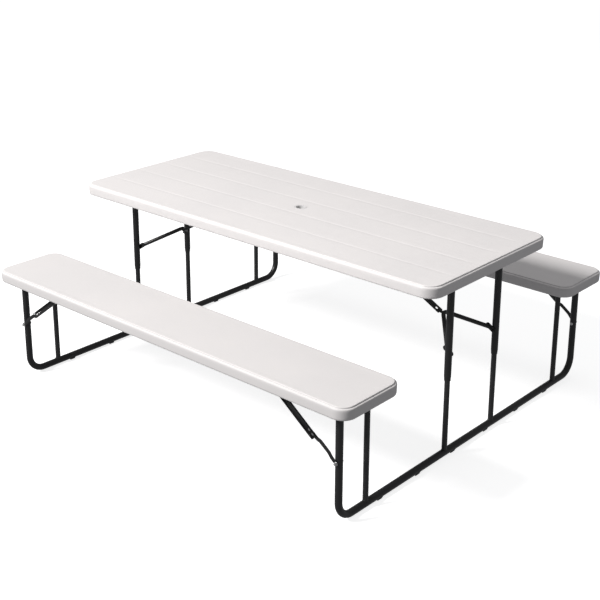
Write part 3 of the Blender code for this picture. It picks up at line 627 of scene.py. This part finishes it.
# ---- boards
BOARD_DEPTH = 0.045
WALL_INSET = 0.0165
TABLE_CORNER_R = 0.060
TABLE_RIM = 0.034
BENCH_CORNER_R = 0.052
BENCH_RIM = 0.028
END_PAD = 0.120
PLANK = 0.1465
PLANK_GROOVES = [PLANK * k for k in (-1.5, -0.5, 0.5, 1.5)]
GROOVE_DEPTH = 0.00055
GROOVE_HALF = 0.0050
SWAY = 0.00022
RIB_PITCH = 0.104
RIB_HALF = 0.013
RIB_DEPTH = 0.0065
PANEL_INSET = 0.0040
ARC_STEPS = 14
ROW_STEP = 0.014
COLUMN_STEP = 0.022
COLUMN_CLEAR = 0.008

# (distance out from the wall, drop below the top), down a board of BOARD_DEPTH
SHOULDER = (
    (-0.0165, 0.0), (-0.0110, 0.0), (-0.0093, 0.0002), (-0.0083, 0.0008), (-0.0077, 0.0017),
    (-0.0074, 0.0029), (-0.0071, 0.0040), (-0.0063, 0.0047), (-0.0050, 0.0050), (-0.0036, 0.0053),
    (-0.0023, 0.0060), (-0.0012, 0.0072), (-0.0004, 0.0090), (0.0, 0.0120), (-0.0002, 0.0200),
    (-0.0006, 0.0300), (-0.0009, 0.0365), (-0.0012, 0.0395), (-0.0020, 0.0420), (-0.0033, 0.0438),
    (-0.0052, 0.0448), (-0.0070, 0.0450),
)


def spaced(low, high, step, extra=()):
    """Positions from low to high no more than a step apart, with the extra ones among them."""
    marks = sorted(set([low, high] + [value for value in extra if low < value < high]))
    made = [marks[0]]
    for start, end in zip(marks, marks[1:]):
        count = max(1, math.ceil((end - start) / step))
        made += [start + (end - start) * (i + 1) / count for i in range(count)]
    return made


def bell(distance, width):
    """1 at 0, falling smoothly to 0 at the width."""
    share = min(abs(distance) / width, 1.0)
    return (1 + math.cos(math.pi * share)) / 2


def perimeter(rows, columns):
    """Indexes of a grid's border, anticlockwise from its lowest corner."""
    loop = [(0, j) for j in range(columns)]
    loop += [(i, columns - 1) for i in range(1, rows)]
    loop += [(rows - 1, j) for j in range(columns - 2, -1, -1)]
    loop += [(i, 0) for i in range(rows - 2, 0, -1)]
    return loop


class Plate:
    """A rounded rectangle filled by a grid; two plates with the same marks have matching borders."""

    def __init__(self, half_x, half_y, radius, row_marks, column_marks):
        self.half = (half_x, half_y)
        self.radius = radius
        arc = [math.radians(90 * i / ARC_STEPS) for i in range(ARC_STEPS + 1)]
        reach_y = half_y - radius
        self.rows = [(-reach_y - radius * math.sin(a), radius * math.cos(a)) for a in arc[:0:-1]]
        self.rows += [(mark * reach_y, radius) for mark in row_marks]
        self.rows += [(reach_y + radius * math.sin(a), radius * math.cos(a)) for a in arc[1:]]
        self.columns = [mark * (half_x - radius - COLUMN_CLEAR) for mark in column_marks]

    def points(self, height):
        """Rows of points; height(x, y) gives z."""
        made = []
        for y, reach in self.rows:
            end = self.half[0] - self.radius + reach
            row = [-end] + self.columns + [end]
            made.append([Vector((x, y, height(x, y))) for x in row])
        return made

    def normal(self, point):
        """Outward direction of the border at a border point."""
        out_x = abs(point.x) - (self.half[0] - self.radius)
        out_y = abs(point.y) - (self.half[1] - self.radius)
        nx = max(out_x, 0.0) * (1 if point.x > 0 else -1)
        ny = max(out_y, 0.0) * (1 if point.y > 0 else -1)
        return Vector((nx, ny, 0)).normalized()


def sheet(bm, points, upward):
    """A grid of vertices joined by quads."""
    grid = [[bm.verts.new(point) for point in row] for row in points]
    for low, high in zip(grid, grid[1:]):
        for j in range(len(low) - 1):
            if upward:
                bm.faces.new((low[j], low[j + 1], high[j + 1], high[j]))
            else:
                bm.faces.new((low[j], high[j], high[j + 1], low[j + 1]))
    return grid


def bridge(bm, ring, fresh):
    """Join two rings of vertices with quads, and return the second."""
    for i in range(len(ring)):
        j = (i + 1) % len(ring)
        bm.faces.new((ring[i], ring[j], fresh[j], fresh[i]))
    return fresh


def rib_places(recess_x):
    """Middles of the ribs across the panel under a board."""
    places = []
    place = RIB_PITCH / 2
    while place < recess_x - RIB_PITCH * 0.6:
        places += [place, -place]
        place += RIB_PITCH
    return places


def board_shape(low, high, corner, rim, grooves):
    """A double-wall board: a stepped shoulder, a drafted wall, a deep rim and a ribbed panel under it."""
    centre = (low + high) / 2
    half_x = (high.x - low.x) / 2
    half_y = (high.y - low.y) / 2
    top_z = high.z
    rim_z = low.z
    panel_z = rim_z + RECESS_DEPTH
    scale = (top_z - rim_z) / BOARD_DEPTH
    inner_x = half_x - WALL_INSET
    inner_y = half_y - WALL_INSET
    inner_r = corner - WALL_INSET
    recess_x = half_x - END_PAD
    recess_y = half_y - rim
    recess_r = corner / 2
    ribs = rib_places(recess_x)
    straight_y = inner_y - inner_r
    straight_x = inner_x - inner_r - COLUMN_CLEAR
    shrink = (recess_x - PANEL_INSET - recess_r) / straight_x
    marks_y = []
    for y in grooves:
        marks_y += [y + GROOVE_HALF * k for k in (-1, -0.66, -0.33, 0, 0.33, 0.66, 1)]
    marks_x = []
    for x in ribs:
        marks_x += [(x + RIB_HALF * k) / shrink for k in (-1, -0.6, -0.25, 0.25, 0.6, 1)]
    rows = [y / straight_y for y in spaced(-straight_y, straight_y, ROW_STEP, marks_y)]
    columns = [x / straight_x for x in spaced(-straight_x, straight_x, COLUMN_STEP, marks_x)]

    def top_height(x, y):
        """Plank grooves and a slow sway, both fading out towards the shoulder."""
        dip = 0.0
        for groove in grooves:
            dip = max(dip, GROOVE_DEPTH * bell(y - groove, GROOVE_HALF))
        border = min(inner_x - abs(x), inner_y - abs(y))
        fade = min(max((border - 0.004) / 0.010, 0.0), 1.0)
        sway = SWAY * (1 + math.sin(x * 9.1 + y * 3.7) * math.cos(y * 12.3 - x * 2.9))
        return top_z - (dip + sway) * fade

    def panel_height(x, y):
        """Ribs pressed up into the panel, fading out at its sides and round the umbrella hole."""
        dip = 0.0
        for rib in ribs:
            dip = max(dip, RIB_DEPTH * min(1.0, 1.6 * bell(x - rib, RIB_HALF)))
        border = recess_y - PANEL_INSET - abs(y)
        fade = min(max((border - 0.006) / 0.018, 0.0), 1.0)
        middle = min(max((abs(y) - 0.010) / 0.012, 0.0), 1.0) if grooves else 1.0
        return panel_z + dip * fade * middle

    bm = bmesh.new()
    top = Plate(inner_x, inner_y, inner_r, rows, columns)
    grid = sheet(bm, top.points(top_height), True)
    loop = perimeter(len(grid), len(grid[0]))
    ring = [grid[i][j] for i, j in loop]
    border = [(vert.co.copy(), top.normal(vert.co)) for vert in ring]
    for offset, drop in SHOULDER[1:]:
        fresh = [bm.verts.new(Vector((p.x, p.y, top_z - drop * scale)) + out * (WALL_INSET + offset))
                 for p, out in border]
        ring = bridge(bm, ring, fresh)
    for grow, z in ((0.0030, rim_z), (0.0012, rim_z + 0.0006), (0.0, rim_z + 0.0024),
                    (-0.0010, panel_z - 0.0040), (-0.0020, panel_z - 0.0012)):
        plate = Plate(recess_x + grow, recess_y + grow, recess_r + grow, rows, columns)
        points = plate.points(lambda x, y, level=z: level)
        ring = bridge(bm, ring, [bm.verts.new(points[i][j]) for i, j in loop])
    panel = Plate(recess_x - PANEL_INSET, recess_y - PANEL_INSET, recess_r - PANEL_INSET, rows, columns)
    under = sheet(bm, panel.points(panel_height), False)
    bridge(bm, ring, [under[i][j] for i, j in loop])
    bmesh.ops.translate(bm, verts=bm.verts, vec=(centre.x, centre.y, 0))
    return bm


@drawn
def rod(bm, start, end, radius, sides):
    run = end - start
    turned(bm, [(radius, 0), (radius, run.length)], start, run.normalized(), sides)


@drawn
def umbrella_ring(bm):
    """A flanged liner with rounded lips for the umbrella hole."""
    foot = RING_BOX[0].z
    top = RING_BOX[1].z
    wide = HOLE_R + RING_WALL
    turned(bm, [(HOLE_R, foot), (wide, foot), (wide, top - RING_FLANGE), (RING_FLANGE_R, top - RING_FLANGE),
                (RING_FLANGE_R, top - 0.0009), (RING_FLANGE_R - 0.0005, top - 0.0003),
                (RING_FLANGE_R - 0.0014, top), (HOLE_R + 0.0016, top), (HOLE_R + 0.0005, top - 0.0004),
                (HOLE_R, top - 0.0014)], Vector((0, 0, 0)), (0, 0, 1), 72, True)


def build_boards():
    above = Vector((0, 0, TABLE_BOX[1].z + 0.01))
    seat = Vector((0, 0, TABLE_BOX[1].z - RING_FLANGE - GAP))
    bores = [rod(Vector((0, 0, TABLE_RIM_Z)), above, HOLE_R + RING_WALL + GAP, 64),
             rod(seat, above, RING_FLANGE_R + 0.0004, 64)]
    shape = cut(board_shape(*TABLE_BOX, TABLE_CORNER_R, TABLE_RIM, PLANK_GROOVES), bores)
    piece("table_board", shape, "table", "white_plastic", ("table_top",), look=TABLE_PLASTIC, crease=50)
    for name, _ in ENDS:
        shape = board_shape(*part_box(name + "_bench_seat"), BENCH_CORNER_R, BENCH_RIM, [])
        piece(name + "_bench_board", shape, "benches", "white_plastic", (name + "_bench_seat",),
              look=BENCH_PLASTIC, crease=50)
    piece("umbrella_ring", umbrella_ring(), "table", "ring_plastic", ("umbrella_hole_ring",))


# ---- end frames
@drawn
def base_tube(bm):
    """The foot and both outer legs, bent from one tube and coped to the hinge tubes."""
    corners = [Vector((FRAME_X, y, z)) for y, z in (
        (-OUTER_LEG_Y, BENCH_HINGE_Z), (-OUTER_LEG_Y, BASE_Z), (OUTER_LEG_Y, BASE_Z),
        (OUTER_LEG_Y, BENCH_HINGE_Z))]
    path = fillet_path(corners, BASE_BEND_R, BEND_STEPS)
    outer, inner = swept(path, (1, 0, 0), MAIN_R, MAIN_R - TUBE_WALL, ROUND)
    for ring in (outer[0], outer[-1], inner[0], inner[-1]):
        coped(ring, BENCH_HINGE_Z, False)
    skin(bm, outer + inner[::-1], False, True)


@drawn
def glides(bm):
    """Moulded glides clipped round the underside of the base tube."""
    centre = Vector((FRAME_X, 0, BASE_Z))
    for i in range(GLIDE_COUNT):
        y = (i - (GLIDE_COUNT - 1) / 2) * GLIDE_PITCH
        outline = beside_frame(((-0.0080, 0.0006), (-0.0072, 0), (0.0072, 0), (0.0080, 0.0006)))
        outline += arc_points(centre, MAIN_R + 0.0014, -42, -28, 4)
        outline += arc_points(centre, MAIN_R - 0.0002, -28, -152, 18)
        outline += arc_points(centre, MAIN_R + 0.0014, -152, -138, 4)
        prism(bm, outline, y - GLIDE_LENGTH / 2, y + GLIDE_LENGTH / 2)


@drawn
def welds(bm, places):
    for place in places:
        weld(bm, *place)


@drawn
def hinge_tube(bm, box, z):
    """An open tube along Y, its two ends slightly rounded."""
    length = box[1].y - box[0].y
    bore = MAIN_R - TUBE_WALL
    lip = 0.0005
    profile = [(bore, lip), (bore + lip, 0), (MAIN_R - lip, 0), (MAIN_R, lip), (MAIN_R, length - lip),
               (MAIN_R - lip, length), (bore + lip, length), (bore, length - lip)]
    turned(bm, profile, Vector((FRAME_X, box[0].y, z)), (0, 1, 0), ROUND, True)


@drawn
def leg_bolt(bm):
    """Domed head inside the outer leg, nut and threaded tip outside the bar."""
    head_y = OUTER_LEG_Y - MAIN_R - GAP
    place = at_y(BENCH_BOLT, head_y)
    rivet_head(bm, place, (0, -1, 0), 0.0065, 0.0042)
    turned(bm, [(BOLT_R, 0), (BOLT_R, BAR_Y + BAR - head_y)], place, (0, 1, 0))
    nut_y = BAR_Y + BAR + GAP
    turned(bm, [(BOLT_R, -0.0002), (0.0072, 0), (0.0074, 0.0003), (0.0072, 0.0008), (BOLT_R, 0.0009)],
           at_y(BENCH_BOLT, nut_y), (0, 1, 0))
    hex_nut(bm, at_y(BENCH_BOLT, nut_y + 0.0008), (0, 1, 0), height=0.0037)
    thread(bm, at_y(BENCH_BOLT, nut_y + 0.0040), (0, 1, 0), 0.0040)


@drawn
def yoke_bolt(bm):
    """A domed cap nut on the stud that the yoke's eye turns on."""
    start = TABLE_LEG_Y - MAIN_R - GAP
    turned(bm, [(BOLT_R, 0), (BOLT_R, YOKE_EYE + 0.0002)], at_y(TABLE_BOLT, start), (0, -1, 0))
    face = start - YOKE_EYE - GAP
    hex_nut(bm, at_y(TABLE_BOLT, face), (0, -1, 0), height=0.0036)
    rivet_head(bm, at_y(TABLE_BOLT, face - 0.0036), (0, -1, 0), 0.0049, 0.0056)


# ---- saddles and anchors
def span_y(box):
    """The middle and the width of a box across the table."""
    low, high = box
    return (low.y + high.y) / 2, high.y - low.y


@drawn
def saddle(bm, hinge_z, y, width):
    """A strap round the hinge tube with a flange each way, under a board."""
    centre = Vector((FRAME_X, 0, hinge_z))
    top_z = hinge_z + MAIN_R + SADDLE_DROP
    inner_r = MAIN_R + SADDLE_FIT
    outer_r = inner_r + SADDLE_WALL
    tip = outer_r + SADDLE_FLANGE
    low_z = top_z - SADDLE_WALL
    outline = beside_frame(((tip, low_z), (tip, top_z), (inner_r, top_z)))
    outline += arc_points(centre, inner_r, 0, -180, 28)
    outline += beside_frame(((-inner_r, top_z), (-tip, top_z), (-tip, low_z), (-outer_r, low_z)))
    outline += arc_points(centre, outer_r, -180, 0, 28) + beside_frame(((outer_r, low_z),))
    prism(bm, outline, y - width / 2, y + width / 2)


@drawn
def saddle_screws(bm, hinge_z, y, width):
    low_z = hinge_z + MAIN_R + SADDLE_DROP - SADDLE_WALL
    across = MAIN_R + SADDLE_FIT + SADDLE_WALL + SADDLE_FLANGE / 2
    reach = width / 2 - SCREW_INSET
    add_screws(bm, [Vector((FRAME_X + sx * across, y + sy * reach, low_z)) for sx in (-1, 1)
                    for sy in (-1, 1)])


@drawn
def table_anchor(bm):
    """Two ears under the table top, each with a foot turned outwards, bent from one strip."""
    ear_low = TABLE_LINK_SIDE + GAP
    ear_high = ear_low + LINK_WALL
    panel_z = TABLE_RIM_Z + RECESS_DEPTH - GAP
    under_z = panel_z - LINK_WALL
    foot_y = ear_high + TABLE_ANCHOR_FOOT
    tip_z = TABLE_ANCHOR.z - TABLE_LINK_HALF
    rows = [(-foot_y, under_z), (-foot_y, panel_z), (foot_y, panel_z), (foot_y, under_z),
            (ear_high, under_z), (ear_high, tip_z), (ear_low, tip_z), (ear_low, under_z),
            (-ear_low, under_z), (-ear_low, tip_z), (-ear_high, tip_z), (-ear_high, under_z)]
    prism(bm, [Vector((TABLE_ANCHOR.x, y, z)) for y, z in rows], -TABLE_ANCHOR_HALF, TABLE_ANCHOR_HALF,
          (1, 0, 0))


@drawn
def bench_anchor(bm):
    """An angle under the bench, its foot turned inwards from the bar's side of the link."""
    panel_z = BENCH_RIM_Z + RECESS_DEPTH - GAP
    ear_high = LINK_Y - GAP
    foot_y = BAR_Y - BENCH_ANCHOR_FOOT
    low_z = BENCH_ANCHOR.z - BENCH_ANCHOR_LIP
    rows = [(BAR_Y, low_z), (ear_high, low_z), (ear_high, panel_z), (foot_y, panel_z),
            (foot_y, panel_z - BAR), (BAR_Y, panel_z - BAR)]
    prism(bm, [Vector((BENCH_ANCHOR.x, y, z)) for y, z in rows], -BENCH_ANCHOR_HALF, BENCH_ANCHOR_HALF,
          (1, 0, 0))


# ---- braces
def links_of(anchor, bolt, hinge_z):
    """Lengths of the two parts of a brace that lies in line when open and folds flat."""
    rise = anchor.z - hinge_z
    folded = (bolt.x - anchor.x) - (hinge_z - bolt.z)
    span = (bolt - anchor).length
    upper = (span ** 2 - folded ** 2 - rise ** 2) / (2 * (span - folded))
    return upper, span - upper


TABLE_LINK = links_of(TABLE_ANCHOR, TABLE_BOLT, TABLE_HINGE_Z)[0]
BENCH_LINK, BAR_LINK = links_of(BENCH_ANCHOR, BENCH_BOLT, BENCH_HINGE_Z)
TABLE_SLOPE = (TABLE_BOLT - TABLE_ANCHOR).normalized()
BENCH_SLOPE = (BENCH_BOLT - BENCH_ANCHOR).normalized()
TABLE_UP = Vector((-TABLE_SLOPE.z, 0, TABLE_SLOPE.x))
BENCH_UP = Vector((-BENCH_SLOPE.z, 0, BENCH_SLOPE.x))
TABLE_ELBOW = TABLE_ANCHOR + TABLE_SLOPE * TABLE_LINK
BENCH_ELBOW = BENCH_ANCHOR + BENCH_SLOPE * BENCH_LINK


def on_table_brace(origin, along, lift):
    return origin + TABLE_SLOPE * along + TABLE_UP * lift


def on_bench_brace(along, lift):
    return BENCH_ANCHOR + BENCH_SLOPE * along + BENCH_UP * lift


@drawn
def table_link(bm):
    """A pressed channel: two cheeks with round ends, a web over them, open at the elbow."""
    half = TABLE_LINK_HALF
    side_y = TABLE_LINK_SIDE
    cheek = strip([TABLE_ANCHOR, on_table_brace(TABLE_ELBOW, LINK_NOSE - half, 0)], half)
    for low, high in ((-side_y, LINK_WALL - side_y), (side_y - LINK_WALL, side_y)):
        prism(bm, cheek, low, high)
    start = on_table_brace(TABLE_ANCHOR, half, half - LINK_WALL / 2)
    end = on_table_brace(TABLE_ELBOW, -LINK_NOSE, half - LINK_WALL / 2)
    web = strip([start, end], LINK_WALL / 2, False, False)
    prism(bm, web, -side_y + LINK_WALL * 0.6, side_y - LINK_WALL * 0.6)


@drawn
def table_link_pins(bm):
    """The anchor's pin with its heads outside the ears, and a rivet in each cheek at the elbow."""
    head_y = TABLE_LINK_SIDE + 2 * GAP + LINK_WALL
    rivet_y = TABLE_LINK_SIDE + 0.0001
    for sign in (-1, 1):
        rivet_head(bm, at_y(TABLE_ANCHOR, sign * head_y), (0, sign, 0), 0.0048, 0.0020)
        rivet_head(bm, at_y(TABLE_ELBOW, sign * rivet_y), (0, sign, 0), 0.0046, 0.0020)
    turned(bm, [(PIN_R, -head_y), (PIN_R, head_y)], at_y(TABLE_ANCHOR, 0), (0, 1, 0))


def yoke_point(along, y):
    """A point on the yoke's own line, measured from its bolt towards the elbow."""
    point = on_table_brace(TABLE_BOLT, -along, YOKE_LIFT * along / YOKE_APEX)
    return at_y(point, y)


@drawn
def yoke(bm):
    """Two arms from a bend at the elbow to an eye at each table leg, with the elbow's tongue."""
    low = TABLE_LEG_Y - MAIN_R - GAP - YOKE_EYE
    arm_y = TABLE_LEG_Y - MAIN_R - GAP - YOKE_EYE / 2
    reach = YOKE_APEX + YOKE_BEND_R / 2
    corners = [yoke_point(YOKE_EYE_REACH, -arm_y), yoke_point(reach, 0), yoke_point(YOKE_EYE_REACH, arm_y)]
    normal = (corners[0] - corners[1]).cross(corners[2] - corners[1])
    path = fillet_path(corners, YOKE_BEND_R, BEND_STEPS)
    outer, inner = swept(path, normal, YOKE_R, YOKE_R - TUBE_WALL, 36)
    for rings in (outer, inner):
        for end, near, sign in ((rings[0], rings[1], -1), (rings[-1], rings[-2], 1)):
            for point, inward in zip(end, near):
                along = (point - inward).normalized()
                point += along * ((sign * arm_y - point.y) / along.y)
    skin(bm, outer + inner[::-1], False, True)
    eye = strip([yoke_point(0, 0), yoke_point(YOKE_EYE_REACH + YOKE_EYE_R, 0)], YOKE_EYE_R)
    prism(bm, eye, low, low + YOKE_EYE)
    prism(bm, eye, -low - YOKE_EYE, -low)
    step = on_table_brace(TABLE_BOLT, -(YOKE_APEX + YOKE_R + 0.008), 0)
    tongue = strip([TABLE_ELBOW, step, yoke_point(YOKE_APEX, 0)], TONGUE_HALF, True, False)
    prism(bm, tongue, -TONGUE / 2, TONGUE / 2)


def rounded_channel(half, depth, wall, radius):
    """Section of a pressed channel as (lift, out) points, its web at 0 and its flanges outwards."""
    def bend(x, y, size, start, step):
        angles = [math.radians(start + step * i) for i in range(7)]
        return [(x + size * math.cos(a), y + size * math.sin(a)) for a in angles]

    lip = 0.0004
    inner = radius - wall
    points = bend(-half + radius, radius, radius, 180, 15) + bend(half - radius, radius, radius, 270, 15)
    points += [(half, depth - lip), (half - lip, depth), (half - wall + lip, depth),
               (half - wall, depth - lip)]
    points += bend(half - wall - inner, wall + inner, inner, 0, -15)
    points += bend(-half + wall + inner, wall + inner, inner, 270, -15)
    points += [(-half + wall, depth - lip), (-half + wall - lip, depth), (-half + lip, depth),
               (-half, depth - lip)]
    return points


@drawn
def bench_link(bm):
    """A pressed channel from the bench's angle to just past the elbow."""
    section = rounded_channel(BENCH_LINK_HALF, BENCH_LINK_DEPTH, LINK_WALL, 0.0026)
    rings = []
    for point in (on_bench_brace(-BENCH_LINK_HALF, 0), on_bench_brace(BENCH_LINK + BENCH_LINK_OVERRUN, 0)):
        rings.append([point + BENCH_UP * lift + Vector((0, LINK_Y + out, 0)) for lift, out in section])
    skin(bm, rings, True)


@drawn
def bench_rivets(bm):
    web_y = LINK_Y + LINK_WALL
    for place in (BENCH_ANCHOR, BENCH_ELBOW, on_bench_brace(BENCH_LINK - STOP_RIVET, 0)):
        rivet_head(bm, at_y(place, web_y), (0, 1, 0), 0.0052, 0.0026)
    turned(bm, [(PIN_R, BAR_Y), (PIN_R, web_y)], at_y(BENCH_ANCHOR, 0), (0, 1, 0))


@drawn
def bench_bar(bm):
    """A flat bar from the elbow to the leg's bolt, set up by 5 mm between its ends."""
    start = BENCH_LINK
    end = BENCH_LINK + BAR_LINK
    marks = [(start, 0), (start + 0.018, 0), (start + 0.022, 0.0005), (start + 0.027, 0.0025),
             (start + 0.032, 0.0045), (start + 0.036, 0.005), (end - 0.046, 0.005), (end - 0.040, 0.0046),
             (end - 0.032, 0.0025), (end - 0.024, 0.0004), (end - 0.018, 0), (end, 0)]
    line = [on_bench_brace(along, lift) for along, lift in marks]
    prism(bm, strip(line, BAR_HALF), BAR_Y, BAR_Y + BAR)


# ---- one end
class Corner:
    """Adds the pieces of one end or corner, drawn at +X and +Y and mirrored to where they belong."""

    def __init__(self, side, sx, name="", sy=1):
        self.side = side + "_"
        self.prefix = self.side + name
        self.flip = (sx, sy)

    def add(self, name, node, bm, body, slot="black_powder_coat", look=None, bevel=0.0):
        """Add a piece that stands for a CAD node, or for none where the node is empty."""
        whose = body if body in ("benches", "table") else self.side + body
        nodes = [self.prefix + node] if node else ()
        piece(self.prefix + name, bm, whose, slot, nodes, self.flip, look, bevel)


def sleeve():
    """A table leg: a tube swaged down at its foot to slide on the post."""
    foot = SLEEVE_BOX[0].z
    bore = MAIN_R - TUBE_WALL
    neck = SLIM_R + POST_FIT
    lip = neck + TUBE_WALL
    outer = [(lip - 0.0004, foot), (lip, foot + 0.0005), (lip, foot + 0.0045), (lip + 0.0001, foot + 0.007),
             (MAIN_R - 0.0005, foot + 0.0125), (MAIN_R - 0.0001, foot + 0.0145),
             (MAIN_R, foot + 0.0165), (MAIN_R, TABLE_HINGE_Z)]
    inner = [(neck, foot), (neck, foot + 0.004), (bore, foot + 0.016), (bore, TABLE_HINGE_Z)]
    return upright(TABLE_LEG_Y, outer, inner, None, TABLE_HINGE_Z)


def slim_tube(y, top_z, head=None):
    """A slim tube that stands on the base tube."""
    bore = SLIM_R - TUBE_WALL
    return upright(y, [(SLIM_R, BASE_Z), (SLIM_R, top_z)], [(bore, BASE_Z), (bore, top_z)], BASE_Z, head)


def add_frame(end):
    """The base tube, its glides and the welds."""
    joints = [(sign * y, radius, z, z == BASE_Z) for sign in (-1, 1) for y, radius, z in (
        (INNER_LEG_Y, SLIM_R, BASE_Z), (INNER_LEG_Y, SLIM_R, BENCH_HINGE_Z),
        (TABLE_LEG_Y, SLIM_R, BASE_Z), (OUTER_LEG_Y, MAIN_R, BENCH_HINGE_Z))]
    end.add("base_tube_skin", "base_tube", base_tube(), "frame")
    end.add("glides", "", glides(), "frame", look=RUBBER, bevel=0.0006)
    end.add("frame_welds", "", welds(joints), "frame")
    heads = [(sign * TABLE_LEG_Y, MAIN_R, TABLE_HINGE_Z, False) for sign in (-1, 1)]
    end.add("leg_welds", "", welds(heads), "table_legs")


def add_legs(corner):
    """The legs and the post of one corner, with their bolts."""
    inner_leg = slim_tube(INNER_LEG_Y, BENCH_HINGE_Z, BENCH_HINGE_Z)
    hinge = hinge_tube(BENCH_HINGE_BOX, BENCH_HINGE_Z)
    corner.add("inner_leg_skin", "inner_leg", inner_leg, "frame")
    corner.add("table_post_skin", "table_post", slim_tube(TABLE_LEG_Y, POST_BOX[1].z), "frame")
    corner.add("bench_hinge_skin", "bench_hinge_tube", hinge, "frame")
    corner.add("leg_bolt", "bench_leg_bolt", leg_bolt(), "frame", "zinc_steel")
    corner.add("table_leg_skin", "table_leg", sleeve(), "table_legs")
    corner.add("cap_nut", "yoke_bolt", yoke_bolt(), "table_legs")


def add_bench_brace(corner):
    """What hangs a bench on its hinge tube, and the bench's brace."""
    place = (BENCH_HINGE_Z, *span_y(BENCH_SADDLE_BOX))
    screws = saddle_screws(*place)
    foot = Vector((BENCH_ANCHOR.x, BAR_Y - BENCH_ANCHOR_FOOT / 2, BENCH_RIM_Z + RECESS_DEPTH - GAP - BAR))
    add_screws(screws, [foot + Vector((-0.008, 0, 0)), foot + Vector((0.008, 0, 0))], 35)
    corner.add("bench_strap", "bench_saddle", saddle(*place), "benches", bevel=0.0005)
    corner.add("bench_screws", "", screws, "benches", "zinc_steel")
    corner.add("bench_angle", "bench_anchor", bench_anchor(), "benches", bevel=0.0005)
    corner.add("bench_channel", "bench_link", bench_link(), "bench_links", bevel=0.0003)
    corner.add("bench_rivets", "", bench_rivets(), "bench_links", "zinc_steel")
    corner.add("bench_flat_bar", "bench_bar", bench_bar(), "bench_bars", bevel=0.0005)


def add_table_strap(corner):
    """What hangs the table top on its hinge tube at one corner."""
    place = (TABLE_HINGE_Z, *span_y(TABLE_SADDLE_BOX))
    corner.add("table_strap", "table_saddle", saddle(*place), "table_hangers", bevel=0.0005)
    corner.add("table_screws", "", saddle_screws(*place), "table_hangers", "zinc_steel")


def add_table_brace(end):
    """The table's hinge tube and its brace."""
    hinge = hinge_tube(TABLE_HINGE_BOX, TABLE_HINGE_Z)
    foot = Vector((TABLE_ANCHOR.x, 0, TABLE_RIM_Z + RECESS_DEPTH - GAP - LINK_WALL))
    screws = bmesh.new()
    add_screws(screws, [foot + Vector((0, -0.0205, 0)), foot + Vector((0, 0.0205, 0))])
    end.add("table_hinge_skin", "table_hinge_tube", hinge, "table_legs")
    end.add("table_clip", "table_anchor", table_anchor(), "table", bevel=0.0004)
    end.add("table_clip_screws", "", screws, "table", "zinc_steel")
    end.add("table_channel", "table_link", table_link(), "table_link", bevel=0.0004)
    end.add("table_channel_pins", "", table_link_pins(), "table_link")
    end.add("yoke_skin", "yoke", yoke(), "yoke", bevel=0.0004)


def build_end(side, sx):
    end = Corner(side, sx)
    add_frame(end)
    for name, sy in ENDS:
        corner = Corner(side, sx, name + "_", sy)
        add_legs(corner)
        add_bench_brace(corner)
        add_table_strap(corner)
    add_table_brace(end)


# ---- stage
def area_light(name, place, size, power, colour):
    data = bpy.data.lights.new(name, "AREA")
    data.shape = "DISK"
    data.size = size
    data.energy = power
    data.color = colour
    light = placed(name, data)
    light.location = place
    light.rotation_euler = (Vector(LIGHT_TARGET) - Vector(place)).to_track_quat("-Z", "Y").to_euler()


def build_floor():
    """A white floor that curves up into a far wall all round; only the camera sees it."""
    profile = [(0.0, FLOOR_Z), (FLOOR_REACH, FLOOR_Z)]
    for i in range(1, 13):
        turn = math.radians(7.5 * i)
        profile.append((FLOOR_REACH + FLOOR_CURVE * math.sin(turn),
                        FLOOR_Z + FLOOR_CURVE * (1 - math.cos(turn))))
    profile.append((profile[-1][0], profile[-1][1] + FLOOR_CURVE))
    rings = [[Vector((x, y, z)) for x, y in circle(max(radius, 0.01), 96)] for radius, z in profile]
    bm = bmesh.new()
    rows = skin(bm, rings)
    bm.faces.new(rows[0][::-1])
    mesh = mesh_of("floor", bm)
    mesh.shade_smooth()
    mesh.materials.append(pale_floor("floor_look"))
    floor = placed("floor", mesh)
    floor.visible_diffuse = False
    floor.visible_glossy = False
    floor.visible_shadow = False


def build_world():
    """Soft light from all round, a little different above and below the horizon."""
    n = Nodes(bpy.data.worlds.new("studio"), "Background")
    height = n.add("SeparateXYZ", {"Vector": n.add("TexCoord").outputs["Generated"]}).outputs["Z"]
    strength = n.spread(height, -0.25, 0.35, AMBIENT_LOW, AMBIENT_HIGH)
    bpy.context.scene.world = n.surface({"Color": AMBIENT_TONE, "Strength": strength})


def build_camera():
    data = bpy.data.cameras.new("camera")
    data.sensor_width = 36.0
    data.lens = CAMERA_LENS
    data.shift_x, data.shift_y = CAMERA_SHIFT
    camera = placed("camera", data)
    camera.location = CAMERA_PLACE
    camera.rotation_euler = (math.radians(90) + CAMERA_PITCH, 0, CAMERA_YAW)
    bpy.context.scene.camera = camera


build_camera()
build_boards()
for side in SIDES:
    build_end(*side)
build_floor()
build_world()
area_light("key", KEY_PLACE, KEY_SIZE, KEY_POWER, KEY_TONE)
area_light("top", TOP_PLACE, TOP_SIZE, TOP_POWER, TOP_TONE)
bpy.context.scene.view_settings.view_transform = "Standard"
